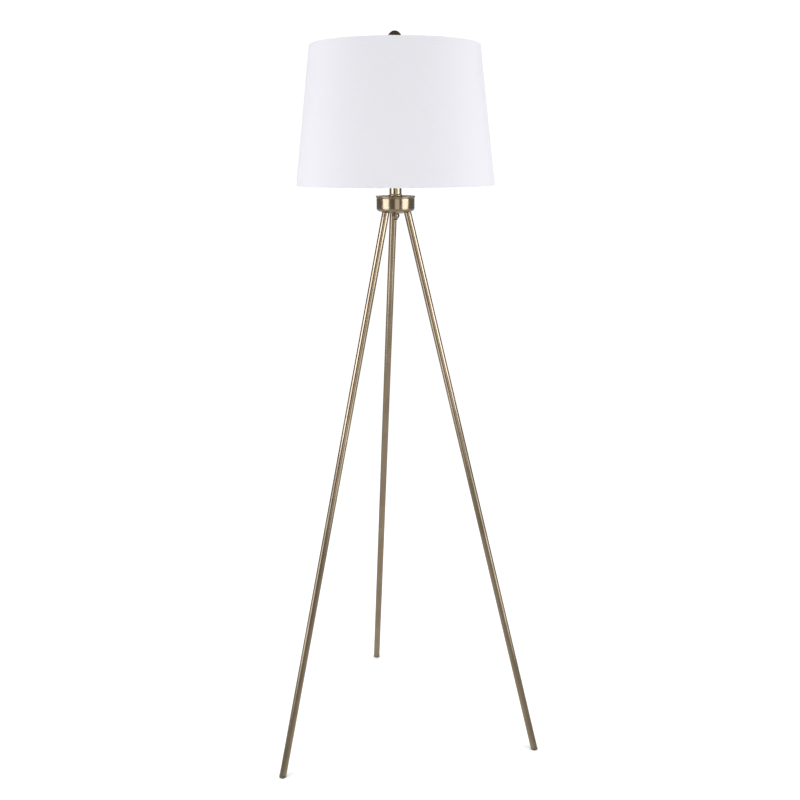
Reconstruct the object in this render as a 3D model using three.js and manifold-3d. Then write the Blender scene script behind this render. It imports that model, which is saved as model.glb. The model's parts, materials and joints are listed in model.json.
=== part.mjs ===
// A tripod floor lamp: three straight brass legs screwed up into a cup-shaped hub, a short neck, a bulb socket
// with a turn-knob switch, and a tapered drum shade that hangs from a harp and is held by a ball finial.
// Millimetres, +Z up. Inside the lamp group the lamp's own axis is X = Y = 0 and the floor is Z = 0.
import * as THREE from "three";
import { mergeVertices } from "three/addons/utils/BufferGeometryUtils.js";
import Module from "manifold-3d";

const wasm = await Module();
wasm.setup();

const TAU = 2 * Math.PI;
const GAP = 0.3; // air left between two pieces that touch

// Tripod
const FOOT_CIRCLE_RADIUS = 324; // lamp axis to each leg's centre line, on the floor
const LEG_TOP_RADIUS = 26.3; // the same, where the leg meets the hub
const LEG_TOP_HEIGHT = 1178.5;
const LEG_RADIUS = 7.5;
const LEG_WALL = 1.2;
const LEG_TURNS = { rear: 0, left: TAU / 3, right: -TAU / 3 };
const LEG_LEAN = Math.atan2(FOOT_CIRCLE_RADIUS - LEG_TOP_RADIUS, LEG_TOP_HEIGHT);
const LEG_LENGTH = Math.hypot(FOOT_CIRCLE_RADIUS - LEG_TOP_RADIUS, LEG_TOP_HEIGHT);
const FOOT_RUBBER = 1.6; // least height of a foot's edge above the floor
const LEG_TUBE_START = (FOOT_RUBBER + LEG_RADIUS * Math.sin(LEG_LEAN)) / Math.cos(LEG_LEAN);
const STUD_RADIUS = 4;
const STUD_BELOW = 18; // how far the stud reaches down into the leg
const STUD_ABOVE = 20; // and up into the hub block

// Hub: the underside of the cup is part of a sphere that each leg meets squarely
const CUP_RADIUS = 39.2;
const CUP_WALL = 1.6;
const CUP_CORNER = 6.5;
const CUP_RIM_TOP = 1212;
const CUP_BEAD = 1.6;
const DOME_RADIUS = LEG_TOP_RADIUS / Math.sin(LEG_LEAN);
const DOME_CENTRE = LEG_TOP_HEIGHT + DOME_RADIUS * Math.cos(LEG_LEAN);
const DOME_BOTTOM = DOME_CENTRE - DOME_RADIUS;
const HUB_BLOCK_RADIUS = 30;
const HUB_BLOCK_TOP = 1199;
const HUB_WASHER = { radius: 11, thick: 1.5 };
const HUB_NUT = { corner: 9.2, high: 5 };
const LID_TOP = CUP_RIM_TOP - 0.8;
const LID_THICK = 1.6;
const LID_SKIRT = 7;

// Threaded pipe that holds the hub, the neck and the socket together
const PIPE_RADIUS = 5;
const PIPE_BORE = 3.4;
const PIPE_BOTTOM = 1168.3;
const PIPE_TOP = 1262;
const PIPE_HOLE = PIPE_RADIUS + GAP;

// Ball nut under the cup
const KNOB_RADIUS = 8.2;
const KNOB_CENTRE = 1171.9;
const OUTLET_HOLE = 3.2;

// Neck
const COLLAR_RADIUS = 13.9;
const COLLAR_BOTTOM = LID_TOP + GAP;
const COLLAR_HIGH = 4;
const NECK_RADIUS = 12.4;
const NECK_WALL = 1.2;
const NECK_BOTTOM = COLLAR_BOTTOM + COLLAR_HIGH + GAP;
const NECK_HIGH = 33.8;
const NECK_CAP_HIGH = 2;
const SPIGOT = 3.6; // how far collar and cap reach into the neck tube

// Harp and its saddle
const SADDLE_BOTTOM = NECK_BOTTOM + NECK_HIGH + NECK_CAP_HIGH + 2 * GAP;
const SADDLE_THICK = 1.4;
const SADDLE_WIDE = 12;
const SADDLE_BEND = 3;
const EAR_X = 28.3; // lamp axis to the middle of each upturned ear
const EAR_SHOULDER = 1258;
const EAR_TOP = 1266;
const EAR_WIDE = 3.2;
const HARP_WIRE = 1.6;
const HARP_TOP = 1485;
const HARP_BELLY_X = 58;
const SLEEVE = { bottom: 1258.4, top: 1272, outer: 3.6, inner: 2.3 };
const STUD_PLATE = { bottom: 1486.9, thick: 2.2, radius: 9 };
const FINIAL_STUD = { radius: 3, top: 1503.5 };

// Socket
const CAP_BOTTOM = SADDLE_BOTTOM + SADDLE_THICK + GAP;
const CAP_HUB = 7;
const CAP_RADIUS = 16.6;
const CAP_WALL = 0.8;
const CAP_SHOULDER = 1266;
const CAP_TOP = 1273;
const SHELL = { outer: 15.5, inner: 15, bottom: 1268, top: 1317 };
const LINER = { outer: 14.7, inner: 14.2, bottom: 1269, top: 1316 };
const SOCKET_BODY = { radius: 13.8, bottom: 1276, top: 1292 };
const SCREW_SHELL = { outer: 13.75, inner: 13.3, bottom: 1292.3, top: 1315.5 };
const CONTACT = { radius: 3, bottom: 1292.3, top: 1294.2 };
const TERMINAL = { x: 8, radius: 2.6, bottom: 1273.5, top: 1275.7 };
const WIRE_RADIUS = 0.9;
const WIRE_X = 1.4;

// Turn-knob switch, on the front of the socket
const SWITCH_HEIGHT = 1283;
const SHAFT_RADIUS = 1.9;
const SHAFT_START = 14.1;
const SHAFT_END = 28;
const SWITCH_HOLE = 2.6;
const KNOB_START = 16.9;
const KNOB_END = 30;
const KNOB_GRIP = 5.5;
const KNOB_RIBS = 18;

// Bulb
const BULB_TIP = { radius: 4.2, bottom: 1294.5, top: 1296 };
const BULB_INSULATOR = { lower: 4.8, upper: 10.2, bottom: 1296.3, top: 1299.5 };
const BULB_BASE = { radius: 13, wall: 0.6, bottom: 1299.8, top: 1322, threads: 5 };
const BULB_RADIUS = 30;
const BULB_NECK = 11.1;
const BULB_CENTRE = 1376;
const BULB_GLASS_BOTTOM = 1314;
const BULB_WALL = 0.8;

// Shade
const SHADE_BOTTOM = 1233;
const SHADE_TOP = 1505.7;
const SHADE_BOTTOM_RADIUS = 203.2;
const SHADE_TOP_RADIUS = 170.5;
const FABRIC_THICK = 0.7;
const BACKING_THICK = 0.8;
const BACKING_SETBACK = 0.6; // the backing stops short of the fabric's edge
const RING_WIRE = 1.5;
const RING_SETBACK = 2.2; // ring's centre line, from the fabric's edge
const SPIDER_PLATE = { bottom: 1489.5, thick: 1.5, radius: 16, hole: 3.4 };
const SPIDER_WIRE = 1.3;
const SPIDER_ARMS = 3;

// Finial
const FINIAL_BASE = { bottom: 1491.3, flange: 8, neck: 5, top: 1506.1, spigot: 3.4, spigotTop: 1514 };
const BALL_RADIUS = 14;
const BALL_CENTRE = 1519.8;

// Smoothness: number of sides round each size of piece
const SIDES = { shade: 64, hub: 32, tube: 24, small: 12, wire: 6 };

// --- Helpers -------------------------------------------------------------------------------------------------------

// Points along an arc, in the plane of a profile: x is the distance from the axis, y the height.
function arc(x, y, radius, from, to, steps) {
  const points = [];
  for (let i = 0; i <= steps; i++) {
    const a = THREE.MathUtils.degToRad(from + ((to - from) * i) / steps);
    points.push([x + radius * Math.cos(a), y + radius * Math.sin(a)]);
  }
  return points;
}

// A solid turned about the Z axis. The profile runs anticlockwise, with the radius to the right and the height up,
// and either starts and ends on the axis or is closed here on its first point.
function turned(profile, sides) {
  const onAxis = profile[0][0] === 0 && profile.at(-1)[0] === 0;
  const points = (onAxis ? profile : [...profile, profile[0]]).map(([x, y]) => new THREE.Vector2(x, y));
  return new THREE.LatheGeometry(points, sides).rotateX(Math.PI / 2);
}

// A plain ring or washer about the Z axis.
function ring(outer, inner, bottom, top, sides) {
  return turned([[inner, bottom], [outer, bottom], [outer, top], [inner, top]], sides);
}

// A plain disc or rod about the Z axis.
function rod(radius, bottom, top, sides) {
  return turned([[0, bottom], [radius, bottom], [radius, top], [0, top]], sides);
}

function regularOutline(radius, sides, phase = 0) {
  const corners = [];
  for (let i = 0; i < sides; i++) {
    const a = phase + (TAU * i) / sides;
    corners.push(new THREE.Vector2(radius * Math.cos(a), radius * Math.sin(a)));
  }
  return new THREE.Shape(corners);
}

// A round wire along a curve.
function wireAlong(curve, radius, steps, sides) {
  return new THREE.ExtrudeGeometry(regularOutline(radius, sides), { steps, extrudePath: curve });
}

function smoothPath(points) {
  return new THREE.CatmullRomCurve3(points.map((p) => new THREE.Vector3(...p)), false, "centripetal");
}

// A geometry as a solid for cutting and joining, and back again.
function solidOf(geometry, matrix = new THREE.Matrix4()) {
  const bare = geometry.clone().deleteAttribute("normal").deleteAttribute("uv").applyMatrix4(matrix);
  const merged = mergeVertices(bare, 1e-4);
  return new wasm.Manifold(
    new wasm.Mesh({
      numProp: 3,
      vertProperties: merged.attributes.position.array,
      triVerts: new Uint32Array(merged.index.array),
    }),
  );
}

function geometryOf(solid) {
  const mesh = solid.getMesh();
  const geometry = new THREE.BufferGeometry();
  geometry.setAttribute("position", new THREE.BufferAttribute(mesh.vertProperties, 3));
  geometry.setIndex(new THREE.BufferAttribute(mesh.triVerts, 1));
  geometry.computeVertexNormals();
  return geometry;
}

function cut(geometry, ...tools) {
  return geometryOf(tools.reduce((left, tool) => left.subtract(tool), solidOf(geometry)));
}

function join(...geometries) {
  return geometryOf(geometries.map((g) => solidOf(g)).reduce((whole, next) => whole.add(next)));
}

// --- Materials -----------------------------------------------------------------------------------------------------

const FINISHES = {
  antiqueBrass: { color: 0x8d7a56, metalness: 1, roughness: 0.26 },
  yellowBrass: { color: 0xc9a24f, metalness: 1, roughness: 0.3 },
  zincSteel: { color: 0x9a9da0, metalness: 1, roughness: 0.4 },
  castIron: { color: 0x3b3c3e, metalness: 0.6, roughness: 0.7 },
  blackPlastic: { color: 0x1c1b1a, metalness: 0, roughness: 0.45 },
  brownPlastic: { color: 0x4d4033, metalness: 0, roughness: 0.6 },
  cardboard: { color: 0xb9a786, metalness: 0, roughness: 0.95 },
  porcelain: { color: 0xe9e6df, metalness: 0, roughness: 0.3 },
  frostedGlass: { color: 0xf4f2ec, metalness: 0, roughness: 0.45 },
  blackGlass: { color: 0x101012, metalness: 0, roughness: 0.15 },
  aluminium: { color: 0xc9cbcd, metalness: 1, roughness: 0.3 },
  whiteFabric: { color: 0xf2f1f3, metalness: 0, roughness: 0.95 },
  whiteStyrene: { color: 0xf7f6f2, metalness: 0, roughness: 0.6 },
  copperInsulated: { color: 0xdedad0, metalness: 0, roughness: 0.6 },
};

function piece(name, geometry, finish) {
  const mesh = new THREE.Mesh(geometry, new THREE.MeshStandardMaterial(FINISHES[finish]));
  mesh.name = name;
  return mesh;
}

// --- Tripod --------------------------------------------------------------------------------------------------------

// A leg's own frame: its origin is where the leg's centre line meets the floor, and +Z runs up the leg.
function legMatrix(turn) {
  const place = new THREE.Matrix4().makeRotationZ(turn);
  place.multiply(new THREE.Matrix4().makeTranslation(0, FOOT_CIRCLE_RADIUS, 0));
  return place.multiply(new THREE.Matrix4().makeRotationX(LEG_LEAN));
}

// A plastic plug in the tube's lower end, cut off level where it stands on the floor.
function footGlide() {
  const rim = LEG_TUBE_START - GAP;
  const profile = [
    [0, -LEG_RADIUS],
    [LEG_RADIUS, -LEG_RADIUS],
    [LEG_RADIUS, rim],
    [LEG_RADIUS - LEG_WALL - GAP, rim],
    [LEG_RADIUS - LEG_WALL - GAP, rim + 13],
    [LEG_RADIUS - LEG_WALL - 2, rim + 15],
    [0, rim + 15],
  ];
  const floor = new THREE.BoxGeometry(60, 60, 60).translate(0, 0, -30);
  const fromLamp = new THREE.Matrix4().makeTranslation(0, FOOT_CIRCLE_RADIUS, 0);
  fromLamp.multiply(new THREE.Matrix4().makeRotationX(LEG_LEAN)).invert();
  floor.translate(0, FOOT_CIRCLE_RADIUS, 0);
  return cut(turned(profile, SIDES.tube), solidOf(floor, fromLamp));
}

function buildLeg(side, turn) {
  const leg = new THREE.Group();
  leg.applyMatrix4(legMatrix(turn));
  const bore = LEG_RADIUS - LEG_WALL;
  const tubeTop = LEG_LENGTH - GAP;
  leg.add(piece(`leg_tube_${side}`, ring(LEG_RADIUS, bore, LEG_TUBE_START, tubeTop, SIDES.tube), "antiqueBrass"));
  const insert = ring(bore - GAP, STUD_RADIUS + GAP, tubeTop - 22, tubeTop - 0.5, SIDES.tube);
  leg.add(piece(`leg_insert_${side}`, insert, "zincSteel"));
  const stud = rod(STUD_RADIUS, LEG_LENGTH - STUD_BELOW, LEG_LENGTH + STUD_ABOVE, SIDES.small);
  leg.add(piece(`leg_stud_${side}`, stud, "zincSteel"));
  leg.add(piece(`foot_glide_${side}`, footGlide(), "brownPlastic"));
  return leg;
}

// --- Hub -----------------------------------------------------------------------------------------------------------

// A rod-shaped hole on each leg's line, for the studs.
function studHoles(radius) {
  const hole = rod(radius, LEG_LENGTH - 10, LEG_LENGTH + STUD_ABOVE + 10, SIDES.small);
  return Object.values(LEG_TURNS).map((turn) => solidOf(hole, legMatrix(turn)));
}

// The underside and corner of the cup, from the middle out to the wall, set in from the outside by a distance.
function cupUnderside(inset) {
  const dome = DOME_RADIUS - inset;
  const corner = CUP_CORNER - inset;
  const cornerX = CUP_RADIUS - CUP_CORNER;
  const cornerAngle = THREE.MathUtils.radToDeg(Math.asin(cornerX / (DOME_RADIUS - CUP_CORNER)));
  const cornerY = DOME_CENTRE - Math.sqrt((DOME_RADIUS - CUP_CORNER) ** 2 - cornerX ** 2);
  const holeAngle = THREE.MathUtils.radToDeg(Math.asin(PIPE_HOLE / dome));
  return [
    ...arc(0, DOME_CENTRE, dome, holeAngle - 90, cornerAngle - 90, 5),
    ...arc(cornerX, cornerY, corner, cornerAngle - 90, 0, 5).slice(1),
  ];
}

function cupShell() {
  const bead = arc(CUP_RADIUS, CUP_RIM_TOP - CUP_BEAD, CUP_BEAD, -90, 180, 6);
  const profile = [...cupUnderside(0), ...bead, ...cupUnderside(CUP_WALL).reverse()];
  return cut(turned(profile, SIDES.hub), ...studHoles(STUD_RADIUS + 0.6));
}

function cupLid() {
  const outer = CUP_RADIUS - CUP_WALL - GAP;
  return turned(
    [
      [PIPE_HOLE, LID_TOP - LID_THICK],
      [outer - LID_THICK, LID_TOP - LID_THICK],
      [outer - LID_THICK, LID_TOP - LID_SKIRT],
      [outer, LID_TOP - LID_SKIRT],
      ...arc(outer - 1, LID_TOP - 1, 1, 0, 90, 3),
      [PIPE_HOLE, LID_TOP],
    ],
    SIDES.hub,
  );
}

function hubBlock() {
  const under = DOME_RADIUS - CUP_WALL - GAP;
  const from = THREE.MathUtils.radToDeg(Math.asin(PIPE_HOLE / under)) - 90;
  const to = THREE.MathUtils.radToDeg(Math.asin(HUB_BLOCK_RADIUS / under)) - 90;
  const profile = [
    ...arc(0, DOME_CENTRE, under, from, to, 4),
    [HUB_BLOCK_RADIUS, HUB_BLOCK_TOP - 1],
    [HUB_BLOCK_RADIUS - 1, HUB_BLOCK_TOP],
    [PIPE_HOLE, HUB_BLOCK_TOP],
  ];
  return cut(turned(profile, SIDES.hub), ...studHoles(STUD_RADIUS + GAP));
}

function hexNut(corner, hole, bottom, high) {
  const hex = new THREE.ExtrudeGeometry(regularOutline(corner, 6), { depth: high, bevelEnabled: false });
  return cut(hex.translate(0, 0, bottom), solidOf(rod(hole, bottom - 1, bottom + high + 1, SIDES.small)));
}

// The ball nut: a ball with a flat seat against the cup, bored for the pipe and drilled through for the flex.
function bottomKnob() {
  const seatTop = DOME_BOTTOM - GAP;
  const seatBottom = seatTop - 1.4;
  const boreBottom = PIPE_BOTTOM - GAP;
  const outletAngle = THREE.MathUtils.radToDeg(Math.asin(OUTLET_HOLE / KNOB_RADIUS)) - 90;
  const seatAngle = THREE.MathUtils.radToDeg(Math.asin((seatBottom - KNOB_CENTRE) / KNOB_RADIUS));
  return turned(
    [
      ...arc(0, KNOB_CENTRE, KNOB_RADIUS, outletAngle, seatAngle, 9),
      [KNOB_RADIUS - 0.8, seatBottom],
      [KNOB_RADIUS - 0.8, seatTop],
      [PIPE_HOLE, seatTop],
      [PIPE_HOLE, boreBottom],
      [OUTLET_HOLE, boreBottom],
    ],
    SIDES.tube,
  );
}

// A plastic bushing that lines the flex's way out of the ball nut.
function outletBushing() {
  const lip = KNOB_CENTRE - Math.sqrt(KNOB_RADIUS ** 2 - OUTLET_HOLE ** 2) - GAP;
  const inner = 2.1;
  return turned(
    [
      [inner, lip - 1],
      [4, lip - 1],
      [4.4, lip],
      [OUTLET_HOLE - GAP, lip],
      [OUTLET_HOLE - GAP, PIPE_BOTTOM - 2 * GAP],
      [inner, PIPE_BOTTOM - 2 * GAP],
    ],
    SIDES.small,
  );
}

function buildHub() {
  const hub = new THREE.Group();
  const washerBottom = HUB_BLOCK_TOP + GAP;
  const nutBottom = washerBottom + HUB_WASHER.thick + GAP;
  const washer = ring(HUB_WASHER.radius, PIPE_HOLE, washerBottom, washerBottom + HUB_WASHER.thick, SIDES.tube);
  hub.add(
    piece("cup_shell", cupShell(), "antiqueBrass"),
    piece("cup_lid", cupLid(), "antiqueBrass"),
    piece("hub_block", hubBlock(), "castIron"),
    piece("hub_washer", washer, "zincSteel"),
    piece("hub_nut", hexNut(HUB_NUT.corner, PIPE_HOLE, nutBottom, HUB_NUT.high), "zincSteel"),
    piece("bottom_knob", bottomKnob(), "antiqueBrass"),
    piece("outlet_bushing", outletBushing(), "blackPlastic"),
    piece("central_pipe", ring(PIPE_RADIUS, PIPE_BORE, PIPE_BOTTOM, PIPE_TOP, SIDES.small), "zincSteel"),
  );
  return hub;
}

// --- Neck ----------------------------------------------------------------------------------------------------------

function neckCollar() {
  const top = COLLAR_BOTTOM + COLLAR_HIGH;
  const spigot = NECK_RADIUS - NECK_WALL - GAP;
  return turned(
    [
      [PIPE_HOLE, COLLAR_BOTTOM],
      [COLLAR_RADIUS, COLLAR_BOTTOM],
      ...arc(COLLAR_RADIUS - 1.5, top - 1.5, 1.5, 0, 90, 4),
      [spigot, top],
      [spigot, top + SPIGOT],
      [PIPE_HOLE, top + SPIGOT],
    ],
    SIDES.tube,
  );
}

function neckCap() {
  const bottom = NECK_BOTTOM + NECK_HIGH + GAP;
  const spigot = NECK_RADIUS - NECK_WALL - GAP;
  return turned(
    [
      [PIPE_HOLE, bottom - SPIGOT],
      [spigot, bottom - SPIGOT],
      [spigot, bottom],
      [NECK_RADIUS, bottom],
      [NECK_RADIUS, bottom + NECK_CAP_HIGH - 0.8],
      [NECK_RADIUS - 0.8, bottom + NECK_CAP_HIGH],
      [PIPE_HOLE, bottom + NECK_CAP_HIGH],
    ],
    SIDES.tube,
  );
}

function buildNeck() {
  const neck = new THREE.Group();
  const tube = ring(NECK_RADIUS, NECK_RADIUS - NECK_WALL, NECK_BOTTOM, NECK_BOTTOM + NECK_HIGH, SIDES.tube);
  neck.add(
    piece("neck_collar", neckCollar(), "antiqueBrass"),
    piece("neck_tube", tube, "antiqueBrass"),
    piece("neck_cap", neckCap(), "antiqueBrass"),
  );
  return neck;
}

// --- Harp ----------------------------------------------------------------------------------------------------------

// A flat strap with both ends bent up into narrow ears, drilled in the middle for the pipe.
function harpSaddle() {
  const outer = EAR_X + SADDLE_THICK / 2;
  const inner = outer - SADDLE_THICK;
  const low = SADDLE_BOTTOM;
  const bendOut = arc(outer - SADDLE_BEND, low + SADDLE_BEND, SADDLE_BEND, -90, 0, 4);
  const bendIn = arc(outer - SADDLE_BEND, low + SADDLE_BEND, SADDLE_BEND - SADDLE_THICK, 0, -90, 4);
  const half = [...bendOut, [outer, EAR_TOP], [inner, EAR_TOP], ...bendIn];
  const mirrored = half.map(([x, y]) => [-x, y]).reverse();
  const outline = new THREE.Shape([...half, ...mirrored].map(([x, y]) => new THREE.Vector2(x, y)));
  const strap = new THREE.ExtrudeGeometry(outline, { depth: SADDLE_WIDE, bevelEnabled: false });
  strap.rotateX(Math.PI / 2).translate(0, SADDLE_WIDE / 2, 0);
  const tools = [solidOf(rod(PIPE_HOLE, low - 1, low + SADDLE_THICK + 1, SIDES.small))];
  const side = (SADDLE_WIDE - EAR_WIDE) / 2;
  for (const y of [-1, 1]) {
    const high = EAR_TOP - EAR_SHOULDER + 1;
    const notch = new THREE.BoxGeometry(80, side, high);
    tools.push(solidOf(notch.translate(0, (y * (SADDLE_WIDE - side)) / 2 + y * 0.01, EAR_SHOULDER + high / 2)));
  }
  return cut(strap, ...tools);
}

// The wire loop: straight up out of each sleeve, round the bulb, and level over the top.
function harpWire() {
  const low = EAR_TOP + GAP;
  const half = [
    [EAR_X, 0, low],
    [EAR_X, 0, low + 12],
    [EAR_X, 0, low + 22],
    [45, 0, 1325],
    [HARP_BELLY_X, 0, 1376],
    [50, 0, 1432],
    [28, 0, 1471],
    [9, 0, HARP_TOP - 0.8],
  ];
  const mirrored = half.map(([x, y, z]) => [-x, y, z]).reverse();
  return wireAlong(smoothPath([...half, [0, 0, HARP_TOP], ...mirrored]), HARP_WIRE, 64, 8);
}

// A round plate riveted on the top of the harp, with the threaded stud that the shade drops over.
function harpStud() {
  const { bottom, thick, radius } = STUD_PLATE;
  return turned(
    [
      [0, bottom],
      [radius - 0.6, bottom],
      [radius, bottom + 0.6],
      [radius, bottom + thick],
      [FINIAL_STUD.radius, bottom + thick],
      [FINIAL_STUD.radius, FINIAL_STUD.top - 0.8],
      [FINIAL_STUD.radius - 0.8, FINIAL_STUD.top],
      [0, FINIAL_STUD.top],
    ],
    SIDES.small,
  );
}

function buildHarp() {
  const harp = new THREE.Group();
  harp.add(
    piece("harp_saddle", harpSaddle(), "yellowBrass"),
    piece("harp_wire", harpWire(), "yellowBrass"),
    piece("harp_stud", harpStud(), "yellowBrass"),
  );
  for (const [side, x] of [["left", -EAR_X], ["right", EAR_X]]) {
    const sleeve = ring(SLEEVE.outer, SLEEVE.inner, SLEEVE.bottom, SLEEVE.top, SIDES.small);
    harp.add(piece(`harp_sleeve_${side}`, sleeve.translate(x, 0, 0), "yellowBrass"));
  }
  return harp;
}

// --- Socket and switch ---------------------------------------------------------------------------------------------

// Half of the cap's section: a hub on the pipe, a rounded shoulder and a straight skirt.
function capSide(inset) {
  const shoulder = [];
  const steps = 6;
  for (let i = 0; i <= steps; i++) {
    const a = (Math.PI / 2) * (i / steps);
    const x = CAP_HUB + (CAP_RADIUS - CAP_HUB - inset) * Math.sin(a);
    shoulder.push([x, CAP_SHOULDER - (CAP_SHOULDER - CAP_BOTTOM - 2.5 - inset) * Math.cos(a)]);
  }
  return shoulder;
}

function socketCap() {
  return turned(
    [
      [PIPE_HOLE, CAP_BOTTOM],
      [CAP_HUB, CAP_BOTTOM],
      ...capSide(0),
      [CAP_RADIUS, CAP_TOP],
      [CAP_RADIUS - CAP_WALL, CAP_TOP],
      ...capSide(CAP_WALL).reverse(),
      [PIPE_HOLE, CAP_BOTTOM + 2.5 + CAP_WALL],
    ],
    SIDES.tube,
  );
}

// A rod that points out of the front of the socket at the switch's height, for the shaft and the holes round it.
function frontRod(radius, start, end, sides) {
  return rod(radius, start, end, sides).rotateX(Math.PI / 2).translate(0, 0, SWITCH_HEIGHT);
}

function socketShell() {
  const { outer, inner, bottom, top } = SHELL;
  const bead = arc(outer, top - 0.7, 0.7, -90, 180, 6);
  const profile = [[inner, bottom], [outer, bottom], ...bead, [inner, top - 1.2]];
  return cut(turned(profile, SIDES.tube), solidOf(frontRod(SWITCH_HOLE, 10, 20, 16)));
}

function socketLiner() {
  const sleeve = ring(LINER.outer, LINER.inner, LINER.bottom, LINER.top, SIDES.tube);
  return cut(sleeve, solidOf(frontRod(SWITCH_HOLE, 10, 20, 16)));
}

function socketBody() {
  const { radius, bottom, top } = SOCKET_BODY;
  return turned(
    [[0, bottom], [radius - 1, bottom], [radius, bottom + 1], [radius, top - 0.5], [radius - 0.5, top], [0, top]],
    SIDES.tube,
  );
}

// A ribbed grip on the end of the shaft.
function switchKnob() {
  const corners = [];
  for (let i = 0; i < 2 * KNOB_RIBS; i++) {
    const a = (TAU * i) / (2 * KNOB_RIBS);
    const reach = i % 2 ? KNOB_GRIP - 0.5 : KNOB_GRIP;
    corners.push(new THREE.Vector2(reach * Math.cos(a), reach * Math.sin(a)));
  }
  const depth = KNOB_END - KNOB_START - 1.4;
  const bevel = { bevelSize: 0.6, bevelOffset: -0.6, bevelThickness: 0.7, bevelSegments: 1, steps: 1 };
  const grip = new THREE.ExtrudeGeometry(new THREE.Shape(corners), { depth, ...bevel });
  grip.rotateX(Math.PI / 2).translate(0, -KNOB_START - 0.7, SWITCH_HEIGHT);
  return cut(grip, solidOf(frontRod(SHAFT_RADIUS + GAP, KNOB_START - 1, SHAFT_END + GAP, 16)));
}

function leadWire(side) {
  const path = smoothPath([
    [side * WIRE_X, 0, PIPE_BOTTOM + 1.2],
    [side * WIRE_X, 0, 1215],
    [side * WIRE_X, 0, PIPE_TOP],
    [side * 2.2, 0, PIPE_TOP + 5],
    [side * (TERMINAL.x - TERMINAL.radius - 1.4), 0, TERMINAL.bottom + 1],
  ]);
  return wireAlong(path, WIRE_RADIUS, 24, SIDES.wire);
}

function buildSocket() {
  const socket = new THREE.Group();
  const screwShell = ring(SCREW_SHELL.outer, SCREW_SHELL.inner, SCREW_SHELL.bottom, SCREW_SHELL.top, SIDES.tube);
  socket.add(
    piece("socket_cap", socketCap(), "yellowBrass"),
    piece("socket_shell", socketShell(), "yellowBrass"),
    piece("socket_liner", socketLiner(), "cardboard"),
    piece("socket_body", socketBody(), "porcelain"),
    piece("socket_screw_shell", screwShell, "yellowBrass"),
    piece("socket_contact", rod(CONTACT.radius, CONTACT.bottom, CONTACT.top, SIDES.small), "yellowBrass"),
    piece("switch_shaft", frontRod(SHAFT_RADIUS, SHAFT_START, SHAFT_END, 16), "zincSteel"),
    piece("switch_knob", switchKnob(), "blackPlastic"),
  );
  for (const [role, side] of [["live", -1], ["neutral", 1]]) {
    const screw = rod(TERMINAL.radius, TERMINAL.bottom, TERMINAL.top, 16).translate(side * TERMINAL.x, 0, 0);
    socket.add(piece(`terminal_screw_${role}`, screw, role === "live" ? "yellowBrass" : "zincSteel"));
    socket.add(piece(`lead_wire_${role}`, leadWire(side), "copperInsulated"));
  }
  return socket;
}

// --- Bulb ----------------------------------------------------------------------------------------------------------

// The glass from its neck up to its crown, set in from the outside by a distance.
function bulbSide(inset) {
  const flank = new THREE.SplineCurve([
    new THREE.Vector2(BULB_NECK - inset, BULB_GLASS_BOTTOM),
    new THREE.Vector2(BULB_NECK - inset, 1323),
    new THREE.Vector2(15 - inset, 1336),
    new THREE.Vector2(23 - inset, 1353),
    new THREE.Vector2(BULB_RADIUS - inset, BULB_CENTRE),
  ]);
  const lower = flank.getPoints(9).map((p) => [p.x, p.y]);
  return [...lower, ...arc(0, BULB_CENTRE, BULB_RADIUS - inset, 0, 90, 6).slice(1, -1), [0, crown(inset)]];
}

function crown(inset) {
  return BULB_CENTRE + BULB_RADIUS - inset;
}

// Closed from the crown outside, down to the open neck, and back up inside to the crown.
function bulbGlass() {
  const outside = turned([[0, BULB_GLASS_BOTTOM], ...bulbSide(0)], SIDES.tube);
  const inside = turned([[0, BULB_GLASS_BOTTOM - 1], [BULB_NECK - BULB_WALL, BULB_GLASS_BOTTOM - 1],
    ...bulbSide(BULB_WALL)], SIDES.tube);
  return cut(outside, solidOf(inside));
}

// The screw cap: a thin shell with rounded threads.
function bulbBase() {
  const { radius, wall, bottom, top, threads } = BULB_BASE;
  const pitch = 3.6;
  const outside = [[BULB_INSULATOR.upper, bottom], [radius - 1.2, bottom + 1.6]];
  for (let i = 0; i < threads; i++) {
    const low = bottom + 2.4 + i * pitch;
    outside.push([radius, low + 0.3 * pitch], [radius - 0.7, low + 0.8 * pitch]);
  }
  outside.push([radius - 0.1, top - 1], [radius - 0.1, top]);
  const inside = [[radius - wall - 0.1, top], [radius - wall - 0.9, top - 6], [radius - wall - 0.9, bottom + 2.4]];
  return turned([...outside, ...inside, [BULB_INSULATOR.upper, bottom + wall]], SIDES.tube);
}

function bulbInsulator() {
  const { lower, upper, bottom, top } = BULB_INSULATOR;
  return turned([[0, bottom], [lower, bottom], [upper, top - 0.6], [upper, top], [0, top]], SIDES.small);
}

function bulbContact() {
  const { radius, bottom, top } = BULB_TIP;
  return turned([[0, bottom], [radius * 0.6, bottom + 0.2], [radius, top - 0.5], [radius, top], [0, top]], SIDES.small);
}

function buildBulb() {
  const bulb = new THREE.Group();
  bulb.add(
    piece("bulb_glass", bulbGlass(), "frostedGlass"),
    piece("bulb_base", bulbBase(), "aluminium"),
    piece("bulb_insulator", bulbInsulator(), "blackGlass"),
    piece("bulb_contact", bulbContact(), "zincSteel"),
  );
  return bulb;
}

// --- Shade ---------------------------------------------------------------------------------------------------------

// The shade's outside radius at a height.
function shadeRadius(height) {
  const share = (height - SHADE_BOTTOM) / (SHADE_TOP - SHADE_BOTTOM);
  return SHADE_BOTTOM_RADIUS + (SHADE_TOP_RADIUS - SHADE_BOTTOM_RADIUS) * share;
}

// A tapered band that follows the shade, between two depths under its outside.
function shadeBand(outer, inner, setback) {
  const low = SHADE_BOTTOM + setback;
  const high = SHADE_TOP - setback;
  return turned(
    [
      [shadeRadius(low) - inner, low],
      [shadeRadius(low) - outer, low],
      [shadeRadius(high) - outer, high],
      [shadeRadius(high) - inner, high],
    ],
    SIDES.shade,
  );
}

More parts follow.
